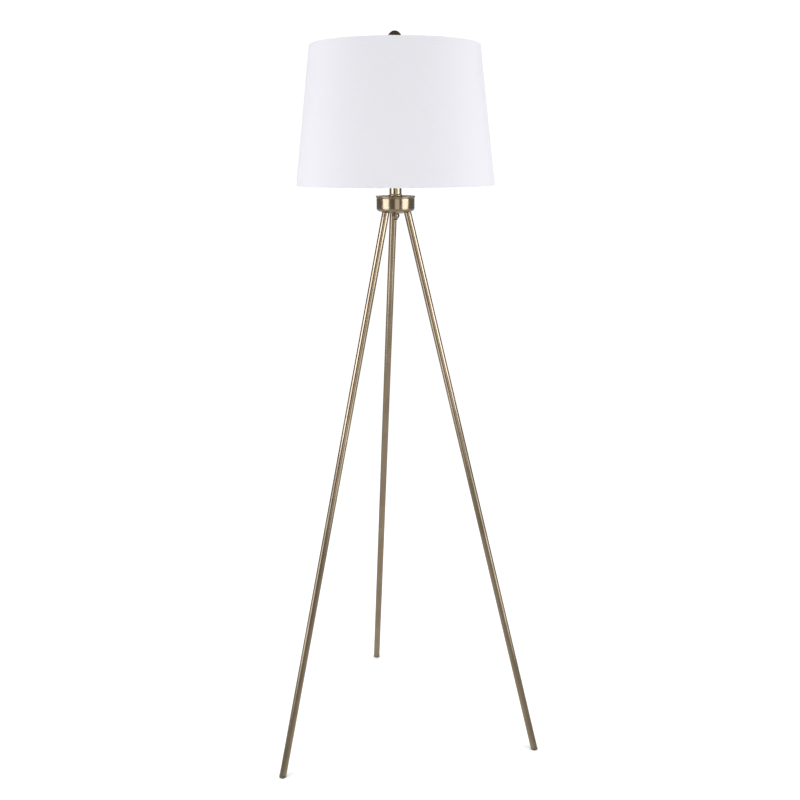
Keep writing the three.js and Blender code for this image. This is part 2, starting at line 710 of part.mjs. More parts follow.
// Centre-line radius of a wire ring that lies against the inside of the backing at a height.
function ringRadius(height) {
  return shadeRadius(height) - FABRIC_THICK - BACKING_THICK - 2 * GAP - RING_WIRE;
}

function wireRing(height) {
  return new THREE.TorusGeometry(ringRadius(height), RING_WIRE, SIDES.wire, SIDES.shade).translate(0, 0, height);
}

// The top fitting: a washer that drops over the stud, with arms that rise to the wire ring round the top.
function shadeSpider() {
  const { bottom, thick, radius, hole } = SPIDER_PLATE;
  const ringHeight = SHADE_TOP - RING_SETBACK;
  const reach = ringRadius(ringHeight);
  const parts = [ring(radius, hole, bottom, bottom + thick, SIDES.tube), wireRing(ringHeight)];
  for (let i = 0; i < SPIDER_ARMS; i++) {
    const path = smoothPath([
      [0, radius - 4, bottom + SPIDER_WIRE + 0.2],
      [0, radius + 24, bottom + SPIDER_WIRE + 0.6],
      [0, reach - 45, bottom + 7],
      [0, reach - 12, ringHeight - 1.6],
      [0, reach, ringHeight],
    ]);
    const turn = (TAU * i) / SPIDER_ARMS;
    parts.push(wireAlong(path, SPIDER_WIRE, 20, SIDES.wire).rotateZ(turn));
  }
  return join(...parts);
}

function buildShade() {
  const shade = new THREE.Group();
  const backingOuter = FABRIC_THICK + GAP;
  shade.add(
    piece("shade_fabric", shadeBand(0, FABRIC_THICK, 0), "whiteFabric"),
    piece("shade_backing", shadeBand(backingOuter, backingOuter + BACKING_THICK, BACKING_SETBACK), "whiteStyrene"),
    piece("shade_bottom_ring", wireRing(SHADE_BOTTOM + RING_SETBACK), "zincSteel"),
    piece("shade_spider", shadeSpider(), "yellowBrass"),
  );
  return shade;
}

// --- Finial --------------------------------------------------------------------------------------------------------

function finialBase() {
  const { bottom, flange, neck, top, spigot, spigotTop } = FINIAL_BASE;
  const bore = FINIAL_STUD.radius + GAP;
  return turned(
    [
      [bore, bottom],
      [flange, bottom],
      ...arc(flange - 1, bottom + 1, 1, 0, 90, 3),
      ...arc(neck + 2, bottom + 4, 2, 270, 180, 3),
      [neck, top - 0.6],
      [spigot, top - 0.6],
      [spigot, spigotTop],
      [0, spigotTop],
      [0, FINIAL_STUD.top + GAP],
      [bore, FINIAL_STUD.top + GAP],
    ],
    SIDES.small,
  );
}

function finialBall() {
  const { spigot, spigotTop } = FINIAL_BASE;
  const hole = spigot + GAP;
  const from = THREE.MathUtils.radToDeg(Math.asin(hole / BALL_RADIUS)) - 90;
  return turned(
    [[0, spigotTop + GAP], [hole, spigotTop + GAP], ...arc(0, BALL_CENTRE, BALL_RADIUS, from, 90, 16).slice(0, -1),
      [0, BALL_CENTRE + BALL_RADIUS]],
    SIDES.tube,
  );
}

function buildFinial() {
  const finial = new THREE.Group();
  finial.add(
    piece("finial_base", finialBase(), "antiqueBrass"),
    piece("finial_ball", finialBall(), "antiqueBrass"),
  );
  return finial;
}

// --- The whole lamp ------------------------------------------------------------------------------------------------

const lamp = new THREE.Group();
for (const [side, turn] of Object.entries(LEG_TURNS)) lamp.add(buildLeg(side, turn));
lamp.add(buildHub(), buildNeck(), buildHarp(), buildSocket(), buildBulb(), buildShade(), buildFinial());

// The rear leg reaches further back than anything reaches forward, so the footprint's middle is behind the lamp's axis.
const footprint = new THREE.Box3().setFromObject(lamp, true);
lamp.position.y = -(footprint.min.y + footprint.max.y) / 2;

const part = new THREE.Group();
part.add(lamp);

export default part;
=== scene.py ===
# A tripod floor lamp: three satin antique-brass legs in a cup-shaped hub, a short neck, a bulb and its
# switched socket inside a harp, and a tapered white fabric shade held by a ball finial.
# The row frame is in metres, +Z up. Outlines are in millimetres, each in its piece's own frame, and are
# scaled when the piece is made. The lamp's own frame has its axis at X = Y = 0 and the floor at Z = 0.
import json
import math
from types import SimpleNamespace

import bmesh
import bpy
from mathutils import Matrix, Vector, noise


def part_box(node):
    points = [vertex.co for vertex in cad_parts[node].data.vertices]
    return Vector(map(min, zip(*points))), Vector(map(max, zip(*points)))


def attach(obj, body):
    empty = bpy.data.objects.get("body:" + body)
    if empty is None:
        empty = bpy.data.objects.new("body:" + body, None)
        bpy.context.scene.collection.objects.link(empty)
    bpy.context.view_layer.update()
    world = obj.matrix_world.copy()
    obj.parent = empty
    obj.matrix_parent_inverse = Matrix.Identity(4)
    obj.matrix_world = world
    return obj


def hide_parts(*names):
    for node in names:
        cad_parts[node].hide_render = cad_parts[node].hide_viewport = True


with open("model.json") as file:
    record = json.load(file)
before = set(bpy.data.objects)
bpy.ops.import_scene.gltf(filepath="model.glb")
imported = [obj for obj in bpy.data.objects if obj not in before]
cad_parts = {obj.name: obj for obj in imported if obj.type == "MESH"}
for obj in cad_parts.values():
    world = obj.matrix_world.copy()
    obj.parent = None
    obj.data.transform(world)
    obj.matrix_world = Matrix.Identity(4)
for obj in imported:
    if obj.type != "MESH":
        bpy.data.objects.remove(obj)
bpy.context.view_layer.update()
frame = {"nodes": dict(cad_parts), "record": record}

MM = 0.001
TAU = 2 * math.pi
ON_AXIS = 1e-6  # a radius below this is a point on the axis
GAP = 0.3  # air between two pieces that touch, as in the CAD
LONG_STRETCH = 1.5  # a straight stretch of outline longer than this gets supporting points
SUPPORT = 0.12  # how far from its ends they lie
MOST_CUT = 0.49  # the largest share of a stretch that a fillet takes away
END_RINGS = ((0.8, 0.25), (0.45, 0.4))  # a wire's end: (radius, reach), as shares of the wire's radius
END_TIP = 0.45  # the same for the reach of its tip
CIRCLE_STEPS = 160


# --- Places read from the frame ---

def span(node):
    """A turned node's outside radius and its lowest and highest point, in millimetres."""
    low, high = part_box(node)
    return SimpleNamespace(radius=(high.x - low.x) / 2 / MM, low=low.z / MM, high=high.z / MM)


def centre_line(node):
    """The middle of a straight tube's lower end and of its upper end, in metres."""
    points = [v.co for v in frame["nodes"][node].data.vertices]
    middle = sum(p.z for p in points) / len(points)
    lower = [p for p in points if p.z < middle]
    upper = [p for p in points if p.z >= middle]
    return sum(lower, Vector()) / len(lower), sum(upper, Vector()) / len(upper)


def leg_frame(side):
    """Where a leg's own frame lies: its origin is where the leg's line meets the floor, and +Z runs up the
    leg. Also the heights in that frame, in millimetres, where the tube starts and ends."""
    bottom, top = centre_line(f"leg_tube_{side}")
    along = (top - bottom).normalized()
    origin = bottom - along * (bottom.z / along.z)
    across = Vector((-along.y, along.x, 0)).normalized()
    axes = Matrix((across, along.cross(across), along)).transposed()
    matrix = Matrix.Translation(origin) @ axes.to_4x4()
    return matrix, (bottom - origin).length / MM, (top - origin).length / MM


neck_low, neck_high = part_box("neck_tube")
LAMP = Matrix.Translation(((neck_low.x + neck_high.x) / 2, (neck_low.y + neck_high.y) / 2, 0))
AXIS_POINT = LAMP.translation


# --- Outlines ---

def polar(radius, angle, height):
    return Vector((radius * math.cos(angle), radius * math.sin(angle), height))


def arc(x, y, radius, start, end, steps):
    """Points on an arc from one angle to another, in degrees."""
    turns = [math.radians(start + (end - start) * i / steps) for i in range(steps + 1)]
    return [(x + radius * math.cos(a), y + radius * math.sin(a)) for a in turns]


def rounded(points, steps=4):
    """The outline with its corners rounded. A point is (x, y), or (x, y, fillet radius). An outline that
    starts off the axis is closed on itself."""
    cyclic = points[0][0] > ON_AXIS
    result = []
    for i, point in enumerate(points):
        corner = Vector(point[:2])
        if len(point) < 3 or (not cyclic and i in (0, len(points) - 1)):
            result.append(tuple(corner))
            continue
        before = Vector(points[i - 1][:2]) - corner
        after = Vector(points[(i + 1) % len(points)][:2]) - corner
        half = before.angle(after) / 2
        cut = min(point[2] / math.tan(half), MOST_CUT * before.length, MOST_CUT * after.length)
        middle = corner + (before.normalized() + after.normalized()).normalized() * (cut / math.cos(half))
        first = corner + before.normalized() * cut - middle
        last = corner + after.normalized() * cut - middle
        sweep = first.angle_signed(last)
        for step in range(steps + 1):
            turn = -sweep * step / steps
            result.append(tuple(middle + Matrix.Rotation(turn, 2) @ first))
    return result


def smooth_path(points, steps):
    """Points on a centripetal Catmull-Rom curve through the given ones."""
    points = [Vector(p) for p in points]
    points = [2 * points[0] - points[1], *points, 2 * points[-1] - points[-2]]
    path = []
    for p0, p1, p2, p3 in zip(points, points[1:], points[2:], points[3:]):
        t0, t1, t2 = (math.sqrt((b - a).length) for a, b in ((p0, p1), (p1, p2), (p2, p3)))
        out = ((p1 - p0) / t0 - (p2 - p0) / (t0 + t1) + (p2 - p1) / t1) * t1
        into = ((p2 - p1) / t1 - (p3 - p1) / (t1 + t2) + (p3 - p2) / t2) * t1
        for step in range(steps):
            t = step / steps
            path.append(
                p1 * (2 * t**3 - 3 * t**2 + 1) + out * (t**3 - 2 * t**2 + t)
                + p2 * (3 * t**2 - 2 * t**3) + into * (t**3 - t**2)
            )
    return [*path, points[-2]]


# --- Meshes ---

def skin(bm, rows, cyclic):
    """Faces between neighbouring rows of vertices. A row of one vertex closes to a point."""
    pairs = zip(rows, rows[1:] + rows[:1]) if cyclic else zip(rows, rows[1:])
    for lower, upper in pairs:
        count = max(len(lower), len(upper))
        for i in range(count):
            j = (i + 1) % count
            corners = [row[k % len(row)] for row, k in ((lower, i), (lower, j), (upper, j), (upper, i))]
            unique = list(dict.fromkeys(corners))
            if len(unique) > 2:
                bm.faces.new(unique)


def supported(profile):
    """The outline with a point close to each end of every long straight stretch, so that smooth shading
    stays flat along the stretch and bends only at the corners."""
    off_axis = profile[0][0] > ON_AXIS
    result = []
    for here, after in zip(profile, [*profile[1:], profile[0] if off_axis else profile[-1]]):
        result.append(here)
        length = math.dist(here, after)
        if length > LONG_STRETCH and max(here[0], after[0]) > ON_AXIS:
            for share in (SUPPORT / length, 1 - SUPPORT / length):
                result.append(tuple(a + (b - a) * share for a, b in zip(here, after)))
    return result


def turned(profile, sides=64, wave=None):
    """A body turned about local Z. wave(radius, height, angle) gives a point's own radius where the body
    isn't round."""
    bm = bmesh.new()
    rows = []
    for radius, height in supported(profile):
        if radius < ON_AXIS:
            rows.append([bm.verts.new((0, 0, height))])
            continue
        row = []
        for i in range(sides):
            angle = TAU * i / sides
            reach = wave(radius, height, angle) if wave else radius
            row.append(bm.verts.new(polar(reach, angle, height)))
        rows.append(row)
    skin(bm, rows, cyclic=len(rows[0]) > 1)
    return bm


def end_cap(bm, rim, point, outward):
    """The rows that round off a wire's end, from its last ring out to the tip."""
    rings = [
        [bm.verts.new(point + (v.co - point) * share + outward * reach) for v in rim]
        for share, reach in END_RINGS
    ]
    return [*rings, [bm.verts.new(point + outward * END_TIP)]]


def swept(path, radius, sides, cyclic=False):
    """A round wire along a path, with rounded ends unless it is a closed loop."""
    bm = bmesh.new()
    count = len(path)
    turns = [TAU * k / sides for k in range(sides)]
    rows = []
    normal = None
    for i, point in enumerate(path):
        ahead = path[(i + 1) % count] if cyclic or i < count - 1 else point
        behind = path[i - 1] if cyclic or i > 0 else point
        along = (ahead - behind).normalized()
        if normal is None:
            normal = along.orthogonal().normalized()
            first_along = along
        normal = (normal - along * normal.dot(along)).normalized()
        side = along.cross(normal)
        spokes = [normal * math.cos(a) + side * math.sin(a) for a in turns]
        rows.append([bm.verts.new(point + radius * spoke) for spoke in spokes])
    if not cyclic:
        start = end_cap(bm, rows[0], path[0], -first_along * radius)
        end = end_cap(bm, rows[-1], path[-1], along * radius)
        rows = [*reversed(start), *rows, *end]
    skin(bm, rows, cyclic)
    return bm


def joined(*meshes):
    """Several bmeshes as one."""
    whole = meshes[0]
    for other in meshes[1:]:
        scratch = bpy.data.meshes.new("scratch")
        other.to_mesh(scratch)
        other.free()
        whole.from_mesh(scratch)
        bpy.data.meshes.remove(scratch)
    return whole


def moved(bm, matrix):
    bmesh.ops.transform(bm, matrix=matrix, verts=bm.verts)
    return bm


def circle(radius, height):
    return [polar(radius, TAU * i / CIRCLE_STEPS, height) for i in range(CIRCLE_STEPS)]


def linked(name, data):
    """A new object in the scene."""
    obj = bpy.data.objects.new(name, data)
    bpy.context.scene.collection.objects.link(obj)
    return obj


def piece(name, bm, body, slot, *nodes, place=LAMP, sharp=38):
    """Makes a piece of the lamp from a bmesh in millimetres, in the frame that place gives. Its points in
    that frame are kept in the attribute "grain", in metres, so that brushing follows the piece. Edges that
    bend by more than sharp degrees stay sharp."""
    bmesh.ops.recalc_face_normals(bm, faces=bm.faces)
    mesh = bpy.data.meshes.new(name)
    bm.to_mesh(mesh)
    bm.free()
    mesh.transform(Matrix.Scale(MM, 4))
    grain = mesh.attributes.new("grain", "FLOAT_VECTOR", "POINT")
    grain.data.foreach_set("vector", [c for v in mesh.vertices for c in v.co])
    mesh.transform(place)
    mesh.shade_smooth()
    mesh.set_sharp_from_angle(angle=math.radians(sharp))
    mesh.materials.append(FINISHES[slot])
    obj = linked(name, mesh)
    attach(obj, body)
    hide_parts(*nodes)
    return obj


# --- Materials ---

MIX_A, MIX_B, MIX_RESULT = 6, 7, 2  # the Mix node's colour sockets, whose names aren't unique


class Surface:
    """A material being made: one Principled shader, and the nodes that drive it."""

    def __init__(self, name, settings):
        self.material = bpy.data.materials.new(name)
        self.material.use_nodes = True
        self.tree = self.material.node_tree
        self.shader = self.tree.nodes["Principled BSDF"]
        for socket, value in settings.items():
            self.shader.inputs[socket].default_value = value

    def feed(self, socket, value):
        if isinstance(value, bpy.types.NodeSocket):
            self.tree.links.new(value, socket)
        else:
            socket.default_value = value

    def node(self, kind, inputs, **settings):
        made = self.tree.nodes.new("ShaderNode" + kind)
        for name, value in settings.items():
            setattr(made, name, value)
        for name, value in inputs.items():
            self.feed(made.inputs[name], value)
        return made

    def drive(self, **inputs):
        for name, value in inputs.items():
            self.feed(self.shader.inputs[name.replace("_", " ")], value)

    def grain(self):
        """The piece's own coordinates, in metres."""
        return self.node("Attribute", {}, attribute_name="grain").outputs["Vector"]

    def place(self):
        """The row frame's coordinates, for the CAD pieces that carry no grain."""
        return self.node("TexCoord", {}).outputs["Object"]

    def noise(self, vector, per_metre, detail=3.0, roughness=0.5):
        """Smooth noise from 0 to 1, with that many features to a metre along x, y and z."""
        scaled = self.node("Mapping", {"Vector": vector, "Scale": per_metre}).outputs["Vector"]
        inputs = {"Vector": scaled, "Scale": 1.0, "Detail": detail, "Roughness": roughness}
        return self.node("TexNoise", inputs).outputs["Fac"]

    def spread(self, value, low, high, to_low=0.0, to_high=1.0):
        """Maps low to high onto another range, and stops at its ends."""
        inputs = {"Value": value, "From Min": low, "From Max": high, "To Min": to_low, "To Max": to_high}
        return self.node("MapRange", inputs).outputs["Result"]

    def math(self, a, b, operation):
        return self.node("Math", {0: a, 1: b}, operation=operation).outputs["Value"]

    def sum(self, a, b):
        return self.math(a, b, "ADD")

    def mix(self, share, a, b):
        """Colour a turning to colour b."""
        inputs = {"Factor": share, MIX_A: (*a, 1), MIX_B: (*b, 1)}
        return self.node("Mix", inputs, data_type="RGBA").outputs[MIX_RESULT]

    def bump(self, height, distance):
        return self.node("Bump", {"Height": height, "Distance": distance}).outputs["Normal"]


def brushed_metal(name, bright, brown, roughness, blotch=0.6):
    """Lacquered metal polished round the piece: fine rings of brushing, and a finish that is browner in
    places, by up to the share blotch."""
    made = Surface(name, {"Metallic": 1.0, "Coat Weight": 0.45, "Coat Roughness": 0.14})
    grain = made.grain()
    clouds = made.noise(grain, (38, 38, 16), detail=4, roughness=0.6)
    rings = made.noise(grain, (130, 130, 2400), detail=2)
    specks = made.noise(grain, (900, 900, 900), detail=2)
    wear = made.noise(grain, (60, 60, 25), detail=3)
    cloudy = made.spread(clouds, 0.36, 0.68, 0, blotch)
    streaked = made.sum(cloudy, made.spread(rings, 0.3, 0.7, -0.06, 0.06))
    speckled = made.sum(streaked, made.spread(specks, 0.66, 0.8, 0, 0.15))
    brushing = made.spread(rings, 0.3, 0.7, roughness - 0.03, roughness + 0.04)
    gloss = made.sum(brushing, made.spread(wear, 0.3, 0.7, -0.03, 0.04))
    made.drive(Base_Color=made.mix(speckled, bright, brown), Roughness=gloss, Normal=made.bump(rings, 2.5e-6))
    return made.material


def plain_metal(name, bright, dull, roughness):
    """Pressed or plated metal whose pattern has no direction."""
    made = Surface(name, {"Metallic": 1.0})
    place = made.place()
    cloud = made.spread(made.noise(place, (150, 150, 150), detail=4), 0.35, 0.7)
    pits = made.noise(place, (1800, 1800, 1800), detail=2)
    gloss = made.spread(cloud, 0, 1, roughness - 0.05, roughness + 0.08)
    made.drive(Base_Color=made.mix(cloud, bright, dull), Roughness=gloss, Normal=made.bump(pits, 1e-5))
    return made.material


def moulded(name, light, dark, roughness, texture=2e-5, per_metre=1500, **settings):
    """Moulded or pressed material with a faint surface texture, of that depth in metres."""
    made = Surface(name, {"Roughness": roughness, **settings})
    place = made.place()
    cloud = made.spread(made.noise(place, (90, 90, 90), detail=4), 0.35, 0.7)
    pits = made.noise(place, (per_metre, per_metre, per_metre), detail=3)
    gloss = made.spread(pits, 0.3, 0.7, roughness - 0.05, roughness + 0.06)
    made.drive(Base_Color=made.mix(cloud, light, dark), Roughness=gloss, Normal=made.bump(pits, texture))
    return made.material


def woven(name, white, weave_shade_and_slub_tone):
    """Fine plain-weave cloth. The UV map gives the place on the cloth in metres, across and up."""
    pitch = 0.00052  # from one thread to the next
    matt = {"Roughness": 0.88, "Specular IOR Level": 0.25, "Sheen Weight": 0.06, "Sheen Roughness": 0.5}
    made = Surface(name, matt)
    cloth = made.node("UVMap", {}, uv_map="cloth").outputs["UV"]
    split = made.node("SeparateXYZ", {"Vector": cloth})
    phases = [made.math(split.outputs[axis], math.pi / pitch, "MULTIPLY") for axis in ("X", "Y")]
    across, up = (made.math(phase, 0.0, "SINE") for phase in phases)
    crossings = made.math(across, up, "MULTIPLY")
    weft = made.noise(cloth, (55, 1100, 1), detail=3, roughness=0.6)
    warp = made.noise(cloth, (1100, 45, 1), detail=3, roughness=0.6)
    slubs = made.sum(made.spread(weft, 0.3, 0.75), made.spread(warp, 0.35, 0.8, 0, 0.7))
    relief = made.sum(made.math(crossings, 0.5, "MULTIPLY"), slubs)
    # Painted shade: the colour turns darker where the weave lies low, between crossing threads and beside the
    # slubs; the slubs also give the cloth an uneven tone of its own.
    shade = made.spread(relief, -0.2, 1.8, 0.75, 0.0)
    made.drive(Base_Color=made.mix(shade, white, weave_shade_and_slub_tone), Normal=made.bump(relief, 5e-5))
    return made.material


FINISHES = {}


def finish(make, name, *looks, **settings):
    FINISHES[name] = make(name, *looks, **settings)


finish(brushed_metal, "antique_brass", (0.385, 0.303, 0.2), (0.235, 0.175, 0.105), 0.2)
finish(brushed_metal, "harp_brass", (0.74, 0.56, 0.27), (0.55, 0.39, 0.17), 0.2, blotch=0.4)
finish(brushed_metal, "socket_brass", (0.80, 0.61, 0.30), (0.62, 0.44, 0.19), 0.22, blotch=0.45)
finish(plain_metal, "contact_brass", (0.82, 0.62, 0.30), (0.60, 0.42, 0.18), 0.3)
finish(brushed_metal, "spider_brass", (0.72, 0.56, 0.29), (0.52, 0.38, 0.18), 0.25, blotch=0.4)
finish(plain_metal, "zinc_steel", (0.62, 0.63, 0.64), (0.44, 0.46, 0.47), 0.36)
finish(moulded, "hub_iron", (0.055, 0.055, 0.058), (0.03, 0.03, 0.032), 0.62, 1.5e-4, 500, Metallic=0.7)
finish(moulded, "foot_plastic", (0.12, 0.09, 0.056), (0.085, 0.063, 0.04), 0.45)
finish(moulded, "black_plastic", (0.022, 0.021, 0.02), (0.014, 0.013, 0.013), 0.34)
finish(moulded, "fibre_liner", (0.40, 0.29, 0.17), (0.28, 0.19, 0.10), 0.85, 6e-5, 700)
finish(moulded, "socket_moulding", (0.74, 0.71, 0.63), (0.64, 0.60, 0.52), 0.3)
finish(moulded, "wire_insulation", (0.66, 0.63, 0.55), (0.56, 0.53, 0.45), 0.45)
finish(
    moulded, "frosted_glass", (0.90, 0.895, 0.875), (0.86, 0.855, 0.835), 0.26, 6e-6, 2500,
    **{"Transmission Weight": 0.12, "Coat Weight": 0.3, "Coat Roughness": 0.2},
)
finish(plain_metal, "bulb_cap_metal", (0.74, 0.75, 0.76), (0.55, 0.56, 0.57), 0.28)
finish(moulded, "black_glass", (0.012, 0.012, 0.014), (0.02, 0.02, 0.022), 0.14, 4e-6)
# the second colour is the painted shade of the weave's low places, and the slubs' own tone
finish(woven, "shade_fabric", (0.775, 0.767, 0.77), (0.705, 0.697, 0.70))
finish(moulded, "shade_styrene", (0.87, 0.865, 0.85), (0.845, 0.84, 0.822), 0.36, 1.2e-5, 260)


# --- Legs ---

LEG_WALL = 1.2
PLUG_STEM = 15  # how far a foot plug reaches up inside its tube
PLUG_TAPER = 2


def leg_radius(side):
    """Largest distance of the tube's points from its centre line, in millimetres."""
    matrix, _, _ = leg_frame(side)
    back = matrix.inverted()
    points = [back @ v.co for v in frame["nodes"][f"leg_tube_{side}"].data.vertices]
    return max(p.xy.length for p in points) / MM


def build_leg(side):
    place, start, end = leg_frame(side)
    outer = leg_radius(side)
    bore = outer - LEG_WALL
    tube = rounded([(outer, start, 0.5), (outer, end, 0.35), (bore, end, 0.35), (bore, start, 0.5)])
    piece(f"leg_{side}", turned(tube, 48), "stand", "antique_brass", f"leg_tube_{side}", place=place)

    # The plug: a rim as wide as the tube, cut level with the floor, and a stem up inside.
    rim = start - GAP
    stem = rim + PLUG_STEM
    profile = rounded([
        (0, -outer), (outer, -outer), (outer, rim, 0.45), (bore - GAP, rim),
        (bore - GAP, stem - PLUG_TAPER, 1), (bore - PLUG_TAPER, stem, 0.6), (0, stem),
    ])
    plug = turned(profile, 48)
    upward = place.to_3x3().inverted() @ Vector((0, 0, 1))
    whole = [*plug.verts, *plug.edges, *plug.faces]
    cut = bmesh.ops.bisect_plane(plug, geom=whole, plane_co=(0, 0, 0), plane_no=upward, clear_inner=True)
    rim_edges = [e for e in cut["geom_cut"] if isinstance(e, bmesh.types.BMEdge)]
    bmesh.ops.holes_fill(plug, edges=rim_edges)
    bmesh.ops.bevel(plug, geom=rim_edges, offset=0.3, segments=2, profile=0.5, affect="EDGES")
    piece(f"foot_{side}", plug, "stand", "foot_plastic", f"foot_glide_{side}", place=place)


for leg_side in ("rear", "left", "right"):
    build_leg(leg_side)


# --- Hub ---

CUP_WALL = 1.6
CUP_CORNER = 6.5
CUP_BEAD = 1.6
GROOVE_BELOW = 1.6  # how far under the rolled rim a fine line is turned in the wall
GROOVE = ((0, -0.5), (0.12, -0.3), (0.35, 0), (0.12, 0.3), (0, 0.5))  # its section: (depth, height)
LID_THICK = 1.6
OUTLET_RADIUS = 3.2  # of the hole for the flex in the ball nut
NUT_RIM = 1.4  # height of the ball nut's plain rim
NUT_BORE = 4  # how far under its centre the ball nut's hole for the pipe ends
PIPE_HOLE = span("central_pipe").radius + GAP

cup = span("cup_shell")
cup_wall = cup.radius - CUP_BEAD
leg_place, _, leg_top = leg_frame("rear")
leg_line = leg_place.to_3x3() @ Vector((0, 0, 1))
leg_foot = leg_place.translation - AXIS_POINT
to_axis = leg_foot.xy.length / leg_line.xy.length  # along a leg's line, from the floor to the lamp's axis
dome_centre = to_axis * leg_line.z / MM
dome_radius = to_axis / MM - leg_top - GAP


def cup_underside(inset):
    """The bowl and its corner, from the hole for the pipe out to the wall, set in from the outside."""
    dome = dome_radius - inset
    corner_x = cup_wall - CUP_CORNER
    slope = math.degrees(math.asin(corner_x / (dome_radius - CUP_CORNER)))
    corner_y = dome_centre - math.sqrt((dome_radius - CUP_CORNER) ** 2 - corner_x**2)
    hole = math.degrees(math.asin(PIPE_HOLE / dome))
    bowl = arc(0, dome_centre, dome, hole - 90, slope - 90, 14)
    return bowl + arc(corner_x, corner_y, CUP_CORNER - inset, slope - 90, 0, 8)[1:]


groove = cup.high - 2 * CUP_BEAD - GROOVE_BELOW
cup_outline = [
    *cup_underside(0),
    *((cup_wall - depth, groove + height) for depth, height in GROOVE),
    *arc(cup_wall, cup.high - CUP_BEAD, CUP_BEAD, -90, 180, 14),
    *reversed(cup_underside(CUP_WALL)),
]
piece("cup", turned(cup_outline, 128), "stand", "antique_brass", "cup_shell")

lid = span("cup_lid")
lid_inner = lid.radius - LID_THICK
lid_outline = rounded([
    (PIPE_HOLE, lid.high - LID_THICK), (lid_inner, lid.high - LID_THICK, 0.4), (lid_inner, lid.low),
    (lid.radius, lid.low), (lid.radius, lid.high, 1),
    (lid.radius - 5, lid.high, 0.2), (lid.radius - 5.5, lid.high - 0.4, 0.2), (lid.radius - 6, lid.high, 0.2),
    (PIPE_HOLE, lid.high),
])
piece("cup_cover", turned(lid_outline, 128), "stand", "antique_brass", "cup_lid")

nut = span("bottom_knob")
bushing = span("outlet_bushing")
flange_top = bushing.low + 1
nut_seat = nut.high - NUT_RIM
nut_centre = flange_top + GAP + math.sqrt(nut.radius**2 - OUTLET_RADIUS**2)
nut_bore = nut_centre - NUT_BORE
outlet_turn = math.degrees(math.asin(OUTLET_RADIUS / nut.radius)) - 90
seat_turn = math.degrees(math.asin((nut_seat - nut_centre) / nut.radius))
nut_outline = [
    *arc(0, nut_centre, nut.radius, outlet_turn, seat_turn, 26),
    (nut.radius - 1.2, nut_seat + 0.15), (nut.radius - 0.8, nut_seat + 0.4),
    (nut.radius - 0.8, nut.high - 0.3), (nut.radius - 1.1, nut.high),
    (PIPE_HOLE, nut.high), (PIPE_HOLE, nut_bore), (OUTLET_RADIUS, nut_bore),
]
piece("ball_nut", turned(nut_outline, 64), "stand", "antique_brass", "bottom_knob")

flex_hole = 2.1
sleeve = OUTLET_RADIUS - GAP
bushing_outline = rounded([
    (flex_hole, bushing.low, 0.3), (bushing.radius - 0.4, bushing.low, 0.4),
    (bushing.radius, flange_top, 0.2), (sleeve, flange_top),
    (sleeve, bushing.high), (flex_hole, bushing.high),
])
piece("flex_bushing", turned(bushing_outline, 48), "stand", "black_plastic", "outlet_bushing")


# --- Neck ---

NECK_WALL = 1.2

collar = span("neck_collar")
neck = span("neck_tube")
cap = span("neck_cap")
neck_bore = neck.radius - NECK_WALL
spigot = neck_bore - GAP
collar_top = neck.low - GAP
collar_outline = rounded([
    (PIPE_HOLE, collar.low), (collar.radius, collar.low, 0.4), (collar.radius, collar_top - 1.6, 0.3),
    (collar.radius - 0.5, collar_top - 1.2, 0.3), (collar.radius - 0.6, collar_top, 0.6),
    (spigot, collar_top), (spigot, collar.high), (PIPE_HOLE, collar.high),
])
piece("neck_ring", turned(collar_outline, 64), "stand", "antique_brass", "neck_collar")
neck_outline = rounded([
    (neck.radius, neck.low, 0.3), (neck.radius, neck.high, 0.3),
    (neck_bore, neck.high, 0.3), (neck_bore, neck.low, 0.3),
])
piece("neck", turned(neck_outline, 64), "stand", "antique_brass", "neck_tube")
cap_bottom = neck.high + GAP
cap_outline = rounded([
    (PIPE_HOLE, cap.low), (spigot, cap.low), (spigot, cap_bottom), (neck.radius, cap_bottom, 0.2),
    (neck.radius, cap.high, 0.9), (PIPE_HOLE, cap.high),
])
piece("neck_top", turned(cap_outline, 64), "stand", "antique_brass", "neck_cap")


# --- Harp ---

SADDLE_THICK = 1.4
SADDLE_BEND = 3
EAR_WIDE = 3.2
EAR_SHOULDER = 6  # height of the wide part of an upturned end above the strap's underside
SADDLE_EASE = 0.3
HARP_WIRE = 1.6
SLEEVE_WALL = 1.3
SLEEVE_WAIST = 0.35  # how far a sleeve's middle is turned down between its two end bands

saddle_low, saddle_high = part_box("harp_saddle")
saddle = span("harp_saddle")
saddle_wide = (saddle_high.y - saddle_low.y) / MM
ear_x = saddle.radius - SADDLE_THICK / 2


